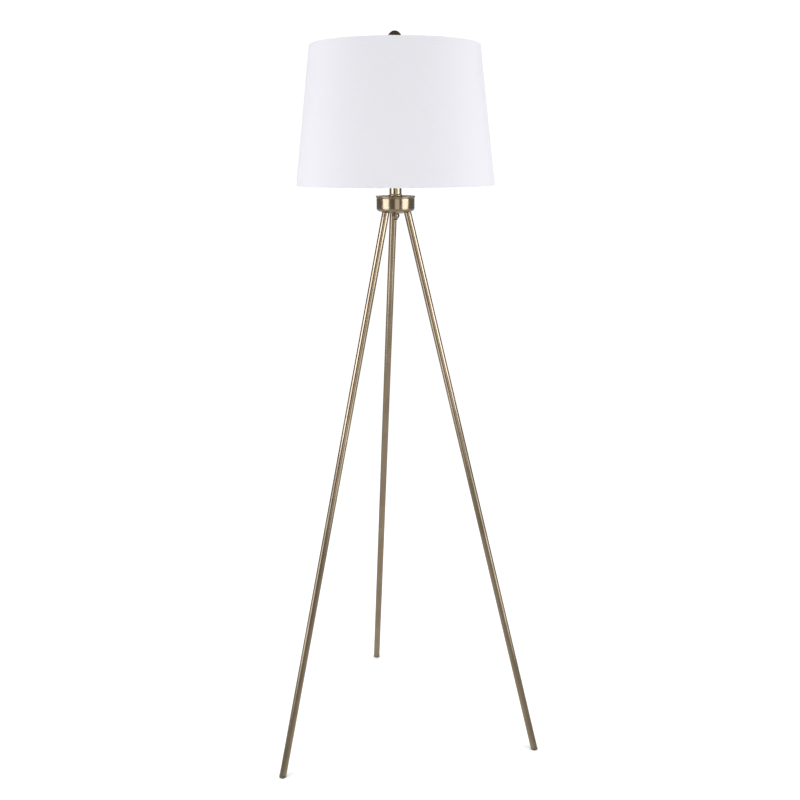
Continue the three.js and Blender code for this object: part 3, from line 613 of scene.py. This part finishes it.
def build_saddle():
    """A strap bent up at both ends into narrow ears, with its edges eased."""
    level = saddle.low + SADDLE_THICK / 2
    bend = SADDLE_BEND - SADDLE_THICK / 2
    side = [(ear_x - bend + dx, level + bend + dz, saddle_wide) for dx, dz in arc(0, 0, bend, -90, 0, 8)]
    shoulder = saddle.low + EAR_SHOULDER
    side += [(ear_x, shoulder - 0.8, saddle_wide), (ear_x, shoulder, saddle_wide - 1)]
    side += [(ear_x, shoulder + 0.5, EAR_WIDE), (ear_x, saddle.high - 1, EAR_WIDE)]
    side += [(ear_x, saddle.high, EAR_WIDE - 1)]
    path = [(-x, z, wide) for x, z, wide in reversed(side)] + [(0, level, saddle_wide)] + side
    bm = bmesh.new()
    rows = []
    for i, (x, z, wide) in enumerate(path):
        ahead = path[min(i + 1, len(path) - 1)]
        behind = path[max(i - 1, 0)]
        along = Vector((ahead[0] - behind[0], 0, ahead[1] - behind[1])).normalized()
        normal = along.cross(Vector((0, 1, 0))) * (SADDLE_THICK / 2)
        across = Vector((0, wide / 2, 0))
        corners = []
        for n, a in ((1, 1), (1, -1), (-1, -1), (-1, 1)):
            near = normal * n * (1 - SADDLE_EASE / (SADDLE_THICK / 2)) + across * a
            far = normal * n + across * a * (1 - SADDLE_EASE / (wide / 2))
            corners += [near, far] if n * a < 0 else [far, near]
        rows.append([bm.verts.new(Vector((x, 0, z)) + c) for c in reversed(corners)])
    skin(bm, rows, cyclic=False)
    bm.faces.new(rows[0])
    bm.faces.new(rows[-1])
    return bm


piece("harp_base", build_saddle(), "stand", "harp_brass", "harp_saddle", sharp=50)

wire = span("harp_wire")
wire_top = wire.high - HARP_WIRE
belly = wire.radius - HARP_WIRE
HARP_SIDE = (  # one side of the loop, from its foot in the sleeve to the crown
    (ear_x, 0, wire.low), (ear_x, 0, wire.low + 12), (ear_x, 0, wire.low + 22), (45, 0, 1325),
    (belly, 0, 1376), (50, 0, 1432), (28, 0, 1471), (9, 0, wire_top - 0.8),
)
harp_points = [*HARP_SIDE, (0, 0, wire_top), *((-x, y, z) for x, y, z in reversed(HARP_SIDE))]
piece("harp_loop", swept(smooth_path(harp_points, 10), HARP_WIRE, 20), "stand", "harp_brass", "harp_wire")


def build_sleeve(side):
    node = f"harp_sleeve_{side}"  # the body that it rides has the same name
    low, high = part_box(node)
    sleeve = span(node)
    bottom, top = sleeve.low, sleeve.high
    bore = sleeve.radius - SLEEVE_WALL
    waist = sleeve.radius - SLEEVE_WAIST
    outline = rounded([
        (bore, bottom, 0.2), (sleeve.radius, bottom, 0.35), (sleeve.radius, bottom + 1.6, 0.2),
        (waist, bottom + 2.1, 0.2), (waist, top - 1.6, 0.2), (sleeve.radius, top - 1.1, 0.2),
        (sleeve.radius, top, 0.4), (bore, top, 0.2),
    ])
    place = Matrix.Translation(((low.x + high.x) / 2, (low.y + high.y) / 2, 0))
    piece(f"sleeve_{side}", turned(outline, 40), node, "harp_brass", node, place=place)


for sleeve_side in ("left", "right"):
    build_sleeve(sleeve_side)


def screw(pitch, depth, low, high, least):
    """A wave for a screw thread: points past the least radius follow a helix between two heights."""
    def wave(radius, height, angle):
        if radius < least or not low < height < high:
            return radius
        turn = (height / pitch - angle / TAU) % 1.0
        ease = min(1.0, (height - low) / pitch, (high - height) / pitch)
        return radius - depth * ease * (0.5 + 0.5 * math.cos(TAU * turn))
    return wave


STUD_RADIUS = 3
STUD_PITCH = 0.94
STUD_PLATE = 2.2  # thickness of the plate that the stud stands on
STUD_POINT = 0.8  # how much narrower its tip is

stud = span("harp_stud")
plate_top = stud.low + STUD_PLATE
row_step = STUD_PITCH / 6
thread_rows = [
    (STUD_RADIUS, plate_top + 0.1 + i * row_step) for i in range(int((stud.high - 1 - plate_top) / row_step))
]
stud_outline = rounded([
    (0, stud.low), (stud.radius, stud.low, 0.7), (stud.radius, plate_top, 0.5),
    (STUD_RADIUS, plate_top, 0.025), *thread_rows, (STUD_RADIUS - STUD_POINT, stud.high), (0, stud.high),
])
stud_wave = screw(STUD_PITCH, 0.32, plate_top, stud.high - 0.8, STUD_RADIUS - 0.01)
piece("harp_screw", turned(stud_outline, 32, stud_wave), "stand", "harp_brass", "harp_stud")


# --- Socket and switch ---

CAP_HUB = 7
CAP_WALL = 0.8
CAP_FLAT = 2.5  # height of the hub's plain side under the dome
CAP_SHOULDER = 1266
CAP_GROOVE = 0.3
SHELL_WALL = 0.5
LINER_WALL = 0.5
RIDGE_HEIGHTS = (1278.0, 1290.5, 1296.0, 1301.5, 1307.0)  # of the ridges rolled in the shell
RIDGE = ((0, -1), (0.1, -0.7), (0.42, 0), (0.1, 0.7), (0, 1))  # a ridge's section: (out, up)
RIM_BEAD = 0.7
SWITCH_HOLE = 2.6
DRILL_FROM, DRILL_TO = 10, 20  # along the switch's shaft, from the lamp's axis
KNOB_RIBS = 18
RIB_DEPTH = 0.75

socket_cap = span("socket_cap")
shell = span("socket_shell")
liner = span("socket_liner")
shaft_low, shaft_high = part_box("switch_shaft")
switch_height = (shaft_low.z + shaft_high.z) / 2 / MM


def cap_side(inset):
    """The cap's domed side, from its hub out to the skirt."""
    rise = CAP_SHOULDER - socket_cap.low - CAP_FLAT - inset
    reach = socket_cap.radius - CAP_HUB - inset
    turns = [math.pi / 2 * i / 14 for i in range(15)]
    return [(CAP_HUB + reach * math.sin(a), CAP_SHOULDER - rise * math.cos(a)) for a in turns]


cap_wall = socket_cap.radius
waist = cap_wall - CAP_GROOVE
skirt = CAP_SHOULDER + 2
socket_cap_outline = [
    (PIPE_HOLE, socket_cap.low), (CAP_HUB - 0.4, socket_cap.low), (CAP_HUB, socket_cap.low + 0.4),
    *cap_side(0),
    (cap_wall, skirt), (waist, skirt + 0.5), (waist, skirt + 1.1), (cap_wall, skirt + 1.6),
    (cap_wall, socket_cap.high - 0.3), (waist, socket_cap.high), (cap_wall - CAP_WALL, socket_cap.high),
    *reversed(cap_side(CAP_WALL)), (PIPE_HOLE, socket_cap.low + CAP_FLAT + CAP_WALL),
]
piece("socket_cup", turned(socket_cap_outline, 72), "stand", "socket_brass", "socket_cap")

shell_wall = shell.radius - RIM_BEAD
shell_inner = shell_wall - SHELL_WALL
shell_outline = [(shell_inner, shell.low), (shell_wall, shell.low)]
for ridge_height in RIDGE_HEIGHTS:
    shell_outline += [(shell_wall + out, ridge_height + up) for out, up in RIDGE]
shell_outline += [
    *arc(shell_wall, shell.high - RIM_BEAD, RIM_BEAD, -90, 180, 10), (shell_inner, shell.high - 1.2),
]
shell_piece = piece("socket_sleeve", turned(shell_outline, 96), "stand", "socket_brass", "socket_shell")

liner_inner = liner.radius - LINER_WALL
liner_outline = rounded([
    (liner_inner, liner.low), (liner.radius, liner.low), (liner.radius, liner.high, 0.15),
    (liner_inner, liner.high, 0.15),
])
liner_piece = piece("socket_lining", turned(liner_outline, 72), "stand", "fibre_liner", "socket_liner")

# Everything on the switch is turned about the shaft, which points out of the socket's front.
switch_at = Matrix.Translation((AXIS_POINT.x, AXIS_POINT.y, switch_height * MM))
SWITCH = switch_at @ Matrix.Rotation(math.pi / 2, 4, "X")
shaft_start = (AXIS_POINT.y - shaft_high.y) / MM
shaft_end = (AXIS_POINT.y - shaft_low.y) / MM
shaft_radius = (shaft_high.x - shaft_low.x) / 2 / MM
knob_low, knob_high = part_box("switch_knob")
knob_start = (AXIS_POINT.y - knob_high.y) / MM
knob_end = (AXIS_POINT.y - knob_low.y) / MM
knob_grip = (knob_high.x - knob_low.x) / 2 / MM


def drill_for_switch(obj):
    """Drills the switch's hole through the front of a thin-walled piece."""
    drill = turned([(0, DRILL_FROM), (SWITCH_HOLE, DRILL_FROM), (SWITCH_HOLE, DRILL_TO), (0, DRILL_TO)], 40)
    mesh = bpy.data.meshes.new("drill")
    drill.to_mesh(mesh)
    drill.free()
    mesh.transform(SWITCH @ Matrix.Scale(MM, 4))
    cutter = linked("drill", mesh)
    cut = obj.modifiers.new("drill", "BOOLEAN")
    cut.operation = "DIFFERENCE"
    cut.object = cutter
    cut.solver = "EXACT"
    bpy.context.view_layer.update()
    evaluated = obj.evaluated_get(bpy.context.evaluated_depsgraph_get())
    result = bpy.data.meshes.new_from_object(evaluated)
    obj.modifiers.clear()
    obj.data = result
    bpy.data.objects.remove(cutter)


drill_for_switch(shell_piece)
drill_for_switch(liner_piece)

shaft_outline = rounded([
    (0, shaft_start), (shaft_radius, shaft_start, 0.2), (shaft_radius, shaft_end, 0.3), (0, shaft_end),
])
piece("switch_rod", turned(shaft_outline, 32), "switch_knob", "zinc_steel", "switch_shaft", place=SWITCH)


def ribs(radius, height, angle):
    """Fluted grip: grooves run along the side, and fade at both ends."""
    if radius < knob_grip - 1.2:
        return radius
    ease = min(1.0, (height - knob_start) / 2.2, (knob_end - height) / 1.6)
    return radius - RIB_DEPTH * max(0.0, ease) * (0.5 - 0.5 * math.cos(KNOB_RIBS * angle)) ** 2


knob_bore = shaft_radius + GAP
knob_side = [(knob_grip, knob_start + 0.6 + (knob_end - knob_start - 1.6) * i / 10) for i in range(11)]
knob_outline = [
    (knob_bore, knob_start), (knob_grip - 0.6, knob_start), *knob_side,
    *arc(knob_grip - 1.0, knob_end - 1.0, 1.0, 15, 80, 5),
    (knob_grip - 2.2, knob_end - 0.15), (knob_grip - 2.6, knob_end - 0.5),
    (1.6, knob_end - 0.62), (0, knob_end - 0.65), (0, shaft_end + GAP), (knob_bore, shaft_end + GAP),
]
knob_mesh = turned(knob_outline, 108, ribs)
piece("switch_grip", knob_mesh, "switch_knob", "black_plastic", "switch_knob", place=SWITCH)


# --- Bulb ---

BULB_WALL = 0.8
BULB_NECK = 11.1
BASE_PITCH = 3.6
BASE_THREAD = 0.85  # depth of the screw cap's thread
BASE_SEAT = 10.2  # radius of the screw cap's lower end, round the insulator
BASE_ROWS = 48

glass = span("bulb_glass")
bulb_centre = glass.high - glass.radius


def bulb_side(inset):
    """The glass from its open neck up to the crown."""
    neck_end = glass.low + 9
    flank = [
        (BULB_NECK - inset, glass.low, 0), (BULB_NECK - inset, neck_end, 0), (15 - inset, glass.low + 22, 0),
        (23 - inset, glass.low + 39, 0), (glass.radius - inset, bulb_centre, 0),
    ]
    curve = [(p.x, p.y) for p in smooth_path(flank, 7)]
    return curve + arc(0, bulb_centre, glass.radius - inset, 0, 90, 16)[1:-1]


bulb_outline = [
    (0, glass.high), *reversed(bulb_side(0)), *bulb_side(BULB_WALL), (0, glass.high - BULB_WALL),
]
piece("bulb_envelope", turned(bulb_outline, 72), "bulb", "frosted_glass", "bulb_glass")

base = span("bulb_base")
base_inner = base.radius - 1.5
thread_high = base.high - base.low - 4.2
base_rows = [(base.radius, base.low + 1.8 + thread_high * i / BASE_ROWS) for i in range(BASE_ROWS + 1)]
base_outline = [
    (BASE_SEAT, base.low), (base.radius - 1.6, base.low + 0.9), *base_rows,
    (base.radius - 0.2, base.high - 1.2), (base.radius - 0.1, base.high - 0.2),
    (base.radius - 0.4, base.high), (base.radius - 0.7, base.high),
    (base_inner, base.high - 6), (base_inner, base.low + 2.4), (BASE_SEAT, base.low + 0.6),
]
base_wave = screw(BASE_PITCH, BASE_THREAD, base.low + 1.2, base.high - 1.8, base.radius - 0.01)
piece("bulb_cap", turned(base_outline, 72, base_wave), "bulb", "bulb_cap_metal", "bulb_base")

insulator = span("bulb_insulator")
insulator_outline = rounded([
    (0, insulator.low), (4.8, insulator.low, 0.4), (insulator.radius, insulator.high - 0.8, 0.5),
    (insulator.radius, insulator.high), (0, insulator.high),
])
piece("bulb_seal", turned(insulator_outline, 48), "bulb", "black_glass", "bulb_insulator")

tip = span("bulb_contact")
tip_outline = rounded([
    (0, tip.low), (tip.radius * 0.7, tip.low, 0.8), (tip.radius, tip.high - 0.4, 0.5), (tip.radius, tip.high),
    (0, tip.high),
])
piece("bulb_tip", turned(tip_outline, 40), "bulb_lift", "zinc_steel", "bulb_contact")


# --- Shade ---

FABRIC_THICK = 0.7
BACKING_THICK = 0.8
BACKING_SETBACK = 0.6
RING_WIRE = 1.5
RING_SETBACK = 2.2
HEM = 11  # how far the fabric is turned in over the wires
SHADE_SIDES = 256
SEAM_WIDE = 11  # the overlap where the fabric is joined, at the back
SEAM_RISE = 0.55
SEAM_EASE = 6  # how far round the overlap takes to ease down past its width
SEAM_AT = math.pi / 2
SEAM_STEPS = (0, 0.25, 0.5, 2, 5, 8, 11, 13, 15, 17)  # rows of points over the seam, from its edge
FABRIC_OUTSIDE = 1.2  # cloth nearer the outside than this is on the shade's outside
RIPPLE = ((1, 0.16), (4.1, 0.05))  # (fineness, height) of the cloth's two kinds of unevenness
SPIDER_WIRE = 1.3
SPIDER_PLATE = 1.5

fabric = span("shade_fabric")
fabric_points = [v.co for v in frame["nodes"]["shade_fabric"].data.vertices]
top_edge = [p for p in fabric_points if p.z / MM > fabric.high - 1]
shade_top_radius = max((p - AXIS_POINT).xy.length for p in top_edge) / MM
slope_x = shade_top_radius - fabric.radius
slope_z = fabric.high - fabric.low


def shade_radius(height):
    """The shade's outside radius at a height."""
    return fabric.radius + slope_x * (height - fabric.low) / slope_z


def ring_radius(height):
    return shade_radius(height) - FABRIC_THICK - BACKING_THICK - 2 * GAP - RING_WIRE


def cloth_section():
    """The middle of the cloth in section, as (depth under the outside, height): from the end of the bottom
    hem down and round the wire, up the outside, over the top wire and down to the end of the top hem.
    Depths are level, not square to the slope."""
    half = FABRIC_THICK / 2
    wire_depth = FABRIC_THICK + BACKING_THICK + 2 * GAP + RING_WIRE
    over = RING_WIRE + half
    under = FABRIC_THICK + BACKING_THICK + GAP + half + 0.15

    def turn_in():
        """From the outside, over the wire, to the end of the hem: (depth, distance from the edge)."""
        corner = [(half, 3.4), (half, 1.5), (half + 0.22, 0.8), (half + 0.8, half + 0.02)]
        turns = [math.radians(d) for d in range(0, 136, 15)]
        crest = [(wire_depth + over * math.sin(a), RING_SETBACK - over * math.cos(a)) for a in turns]
        hem = [(under + 0.9, RING_SETBACK + 2.7), (under + 0.1, RING_SETBACK + 4.2), (under, HEM)]
        return corner + crest + hem

    top = [(depth, fabric.high - inward) for depth, inward in turn_in()]
    bottom = [(depth, fabric.low + inward) for depth, inward in reversed(turn_in())]
    low, high = bottom[-1][1], top[0][1]
    rise = [(half, low + (high - low) * i / 30) for i in range(1, 30)]
    return bottom + rise + top


def ripple(angle, height):
    """A slight unevenness of the cloth on its backing, in millimetres."""
    around = Vector((math.cos(angle), math.sin(angle), height / 140)) * 2.6
    return sum(rise * noise.noise(around * fineness) for fineness, rise in RIPPLE)


def seam_lift(angle):
    """How far the overlap stands up: sharp at its folded edge, and easing down on the other side."""
    along = ((angle - SEAM_AT + math.pi) % TAU - math.pi) * fabric.radius
    if along < 0 or along > SEAM_WIDE + SEAM_EASE:
        return 0.0
    return SEAM_RISE * min(1.0, along / 0.5, (SEAM_WIDE + SEAM_EASE - along) / SEAM_EASE)


def shade_angles():
    """Even steps round the shade, with closer ones over the seam. The first is at the seam's folded edge."""
    near = [SEAM_AT + along / fabric.radius for along in SEAM_STEPS]
    even_steps = SHADE_SIDES - 5  # the closer ones take up the rest
    return near + [near[-1] + TAU / SHADE_SIDES * (i + 1) for i in range(even_steps)]


def build_fabric():
    section = cloth_section()
    half = FABRIC_THICK / 2
    sides = []
    for i, (depth, height) in enumerate(section):
        ahead = Vector(section[min(i + 1, len(section) - 1)])
        behind = Vector(section[max(i - 1, 0)])
        along = (ahead - behind).normalized()
        normal = Vector((-along.y, along.x))  # points out of the shade where the cloth runs up its outside
        sides.append((Vector((depth, height)), normal))
    loop = [p + n * half for p, n in sides] + [p - n * half for p, n in reversed(sides)]
    lengths = [0.0]
    for a, b in zip(section, section[1:]):
        lengths.append(lengths[-1] + math.dist(a, b))
    along_cloth = lengths + lengths[::-1]
    angles = shade_angles()
    bm = bmesh.new()
    uv = bm.loops.layers.uv.new("cloth")
    rows = []
    for depth, height in loop:
        row = []
        for angle in angles:
            lift = seam_lift(angle) + ripple(angle, height) if depth < FABRIC_OUTSIDE else 0.0
            reach = shade_radius(height) - depth + lift
            row.append(bm.verts.new(polar(reach, angle, height)))
        rows.append(row)
    for r, lower in enumerate(rows):
        s = (r + 1) % len(rows)
        upper = rows[s]
        for i in range(len(angles)):
            j = (i + 1) % len(angles)
            face = bm.faces.new((lower[i], lower[j], upper[j], upper[i]))
            turn_i = angles[i] - angles[0]
            turn_j = angles[j] - angles[0] if j else TAU
            corners = ((turn_i, r), (turn_j, r), (turn_j, s), (turn_i, s))
            for loop_corner, (turn, row) in zip(face.loops, corners):
                loop_corner[uv].uv = (turn * fabric.radius * MM, along_cloth[row] * MM)
    return bm


shade_cloth = piece("shade_cover", build_fabric(), "shade", "shade_fabric", "shade_fabric", sharp=60)


def build_liner():
    """The styrene sheet under the fabric."""
    outer = FABRIC_THICK + GAP
    inner = outer + BACKING_THICK
    low, high = fabric.low + BACKING_SETBACK, fabric.high - BACKING_SETBACK
    heights = [low + (high - low) * i / 12 for i in range(13)]
    outside = [(shade_radius(z) - outer, z) for z in heights]
    inside = [(shade_radius(z) - inner, z) for z in reversed(heights)]
    return turned(outside + inside, 192)


piece("shade_liner", build_liner(), "shade", "shade_styrene", "shade_backing")

ring_low = fabric.low + RING_SETBACK
ring_high = fabric.high - RING_SETBACK
lower_ring = swept(circle(ring_radius(ring_low), ring_low), RING_WIRE, 12, cyclic=True)
piece("shade_lower_ring", lower_ring, "shade", "zinc_steel", "shade_bottom_ring")


def build_spider():
    """The dished plate under the finial, its three arms, and the wire ring that they hold."""
    low = span("shade_spider").low
    reach = ring_radius(ring_high)
    plate = rounded([
        (3.4, low, 0.3), (16, low, 0.4), (16, low + SPIDER_PLATE, 0.5), (9.5, low + SPIDER_PLATE, 0.4),
        (8.8, low + 1.3), (3.4, low + 1.3, 0.3),
    ])
    arm_points = [
        (0, 12, low + SPIDER_WIRE + 0.2), (0, 40, low + SPIDER_WIRE + 0.6), (0, reach - 45, low + 7),
        (0, reach - 12, ring_high - 1.6), (0, reach, ring_high),
    ]
    parts = [turned(plate, 64), swept(circle(reach, ring_high), RING_WIRE, 12, cyclic=True)]
    for arm in range(3):
        wire_arm = swept(smooth_path(arm_points, 12), SPIDER_WIRE, 14)
        parts.append(moved(wire_arm, Matrix.Rotation(TAU * arm / 3, 4, "Z")))
    return joined(*parts)


piece("shade_top_fitting", build_spider(), "shade", "spider_brass", "shade_spider")


# --- Finial ---

FINIAL_NECK = 5
SPIGOT_RADIUS = 3.4  # of the pin on the base that carries the ball

finial = span("finial_base")
ball = span("finial_ball")
ball_centre = ball.high - ball.radius
ball_hole = SPIGOT_RADIUS + GAP
stud_hole = STUD_RADIUS + GAP
finial_top = ball.low - GAP / 2
finial_outline = rounded([
    (stud_hole, finial.low), (finial.radius, finial.low, 0.4), (finial.radius, finial.low + 2, 0.9),
    (FINIAL_NECK + 0.6, finial.low + 2.3, 1.6), (FINIAL_NECK, finial.low + 6, 2),
    (FINIAL_NECK, finial_top - 1, 0.3), (FINIAL_NECK - 0.3, finial_top),
    (SPIGOT_RADIUS, finial_top), (SPIGOT_RADIUS, finial.high), (0, finial.high),
])
finial_outline += [(0, stud.high + GAP), (stud_hole, stud.high + GAP)]
piece("finial_stem", turned(finial_outline, 64), "finial_lift", "antique_brass", "finial_base")
hole_turn = math.degrees(math.asin(ball_hole / ball.radius)) - 90
ball_outline = [
    (0, finial.high + GAP), (ball_hole, finial.high + GAP),
    *arc(0, ball_centre, ball.radius, hole_turn, 90, 40)[:-1], (0, ball.high),
]
piece("finial_knob", turned(ball_outline, 72), "finial", "antique_brass", "finial_ball")


# --- Finishes of the CAD pieces that stay ---

for entry in frame["record"]["subparts"]:
    for material_slot in frame["nodes"][entry["node"]].material_slots:
        material_slot.material = FINISHES[entry["material_slot"]]


# --- Floor, light and camera ---

CAMERA_AT = Vector((-0.3645, -2.1251, 1.2894))
CAMERA_TURN = math.radians(-10.234)  # of its line of sight, about +Z from +Y
CAMERA_PITCH = math.radians(13.712)  # below the horizon
CAMERA_ROLL = math.radians(-0.247)
CAMERA_LENS = 44.82
FLOOR_RADIUS = 2.6
FLOOR_FADE = 1.3  # where the floor starts to fade out, from the lamp
FLOOR_DROP = 0.0004  # it lies this far under the feet, so no faces share a plane
HORIZON = (-0.6, 0.1)  # between these directions' Z, what metal reflects goes from floor to room
BOX_WHITE = (0.97, 0.985, 1.08)


def build_camera():
    data = bpy.data.cameras.new("camera")
    data.sensor_width = 36
    data.lens = CAMERA_LENS
    camera = linked("camera", data)
    level = Vector((-math.sin(CAMERA_TURN), math.cos(CAMERA_TURN), 0))
    ahead = level * math.cos(CAMERA_PITCH) - Vector((0, 0, math.sin(CAMERA_PITCH)))
    right = ahead.cross(Vector((0, 0, 1))).normalized()
    up = right.cross(ahead)
    turned_right = right * math.cos(CAMERA_ROLL) + up * math.sin(CAMERA_ROLL)
    turned_up = up * math.cos(CAMERA_ROLL) - right * math.sin(CAMERA_ROLL)
    axes = Matrix((turned_right, turned_up, -ahead)).transposed()
    camera.matrix_world = Matrix.Translation(CAMERA_AT) @ axes.to_4x4()
    bpy.context.scene.camera = camera


def soft_light(name, turn, distance, height, wide, high, radiance, colour=(1, 1, 1), aim=None):
    """A large soft light that faces the lamp, at its own height unless aim gives another. turn is its
    direction from the lamp, in degrees from the camera's, positive to the camera's right."""
    toward_camera = (CAMERA_AT - AXIS_POINT).xy.normalized()
    angle = math.atan2(toward_camera.y, toward_camera.x) + math.radians(turn)
    data = bpy.data.lights.new(name, "AREA")
    data.shape = "RECTANGLE"
    data.size = wide
    data.size_y = high
    data.energy = radiance * math.pi * wide * high
    data.color = colour
    light = linked(name, data)
    light.location = AXIS_POINT + polar(distance, angle, height)
    target = AXIS_POINT + Vector((0, 0, height if aim is None else aim))
    facing = target - light.location
    light.rotation_mode = "QUATERNION"
    light.rotation_quaternion = facing.to_track_quat("-Z", "Y")
    light.visible_camera = False
    return light


def overhead_light(irradiance, spread):
    """Even light from above, for matt surfaces only, so that it leaves no spot on the metal."""
    data = bpy.data.lights.new("overhead", "SUN")
    data.energy = irradiance
    data.angle = math.radians(spread)
    linked("overhead", data).visible_glossy = False


def build_world(seen, ambient, room, below):
    """White all round for the camera and soft light for matt surfaces. What metal reflects between the
    lights is a dim room, over a floor that is lighter."""
    world = bpy.data.worlds.new("studio")
    world.use_nodes = True
    bpy.context.scene.world = world
    nodes, links = world.node_tree.nodes, world.node_tree.links

    direction = nodes.new("ShaderNodeTexCoord").outputs["Generated"]
    upward = nodes.new("ShaderNodeSeparateXYZ")
    links.new(direction, upward.inputs["Vector"])
    reflected = nodes.new("ShaderNodeMapRange")
    links.new(upward.outputs["Z"], reflected.inputs["Value"])
    for socket, value in zip(("From Min", "From Max", "To Min", "To Max"), (*HORIZON, below, room)):
        reflected.inputs[socket].default_value = value

    path = nodes.new("ShaderNodeLightPath")
    strength = ambient
    for ray, wanted in (("Is Glossy Ray", reflected.outputs["Result"]), ("Is Camera Ray", seen)):
        choice = nodes.new("ShaderNodeMix")
        links.new(path.outputs[ray], choice.inputs["Factor"])
        for socket, value in (("A", strength), ("B", wanted)):
            if isinstance(value, float):
                choice.inputs[socket].default_value = value
            else:
                links.new(value, choice.inputs[socket])
        strength = choice.outputs["Result"]
    background = nodes["Background"]
    background.inputs["Color"].default_value = (1, 1, 1, 1)
    links.new(strength, background.inputs["Strength"])


def build_floor():
    """A plain pale floor, whose far edge fades into the white behind it."""
    bm = bmesh.new()
    bmesh.ops.create_circle(bm, cap_ends=True, radius=FLOOR_RADIUS, segments=96)
    mesh = bpy.data.meshes.new("floor")
    bm.to_mesh(mesh)
    bm.free()
    paper = Surface("floor_paper", {"Roughness": 0.9, "Specular IOR Level": 0.1})
    place = paper.place()
    tone = paper.noise(place, (1.5, 1.5, 1.5), detail=2)
    away = paper.node("VectorMath", {"Vector": place}, operation="LENGTH").outputs["Value"]
    edge = paper.spread(away, FLOOR_FADE, FLOOR_RADIUS * 0.98, 1, 0)
    paper.drive(Base_Color=paper.mix(tone, (0.93, 0.93, 0.93), (0.95, 0.95, 0.95)), Alpha=edge)
    mesh.materials.append(paper.material)
    floor = linked("floor", mesh)
    floor.location.z = -FLOOR_DROP
    floor.visible_glossy = False  # metal reflects the dim room instead


build_camera()
build_world(seen=1.05, ambient=0.3, room=0.12, below=0.68)
build_floor()
for side, turn in (("left", -61), ("right", 61)):
    soft_light(
        f"{side}_box", turn, distance=2.4, height=1.72, wide=1.75, high=1.6, radiance=3.95, colour=BOX_WHITE,
    )
    soft_light(
        f"{side}_low_box", turn, distance=1.8, height=0.38, wide=1.1, high=0.8, radiance=1.7,
        colour=BOX_WHITE, aim=1.1,
    )
wall = soft_light("pale_wall", 10, distance=2.6, height=1.35, wide=1.2, high=2.0, radiance=1.1)
wall.visible_diffuse = False  # only the metal shows it
soft_light("back_box", 180, distance=3.0, height=2.6, wide=2.4, high=1.2, radiance=2.6)
fill = soft_light("back_fill", 180, distance=3.0, height=1.4, wide=2.4, high=2.2, radiance=1.2)
fill.visible_glossy = False  # it lights the cloth for a view from behind
overhead_light(irradiance=1.75, spread=90)
bpy.context.scene.view_settings.view_transform = "Standard"
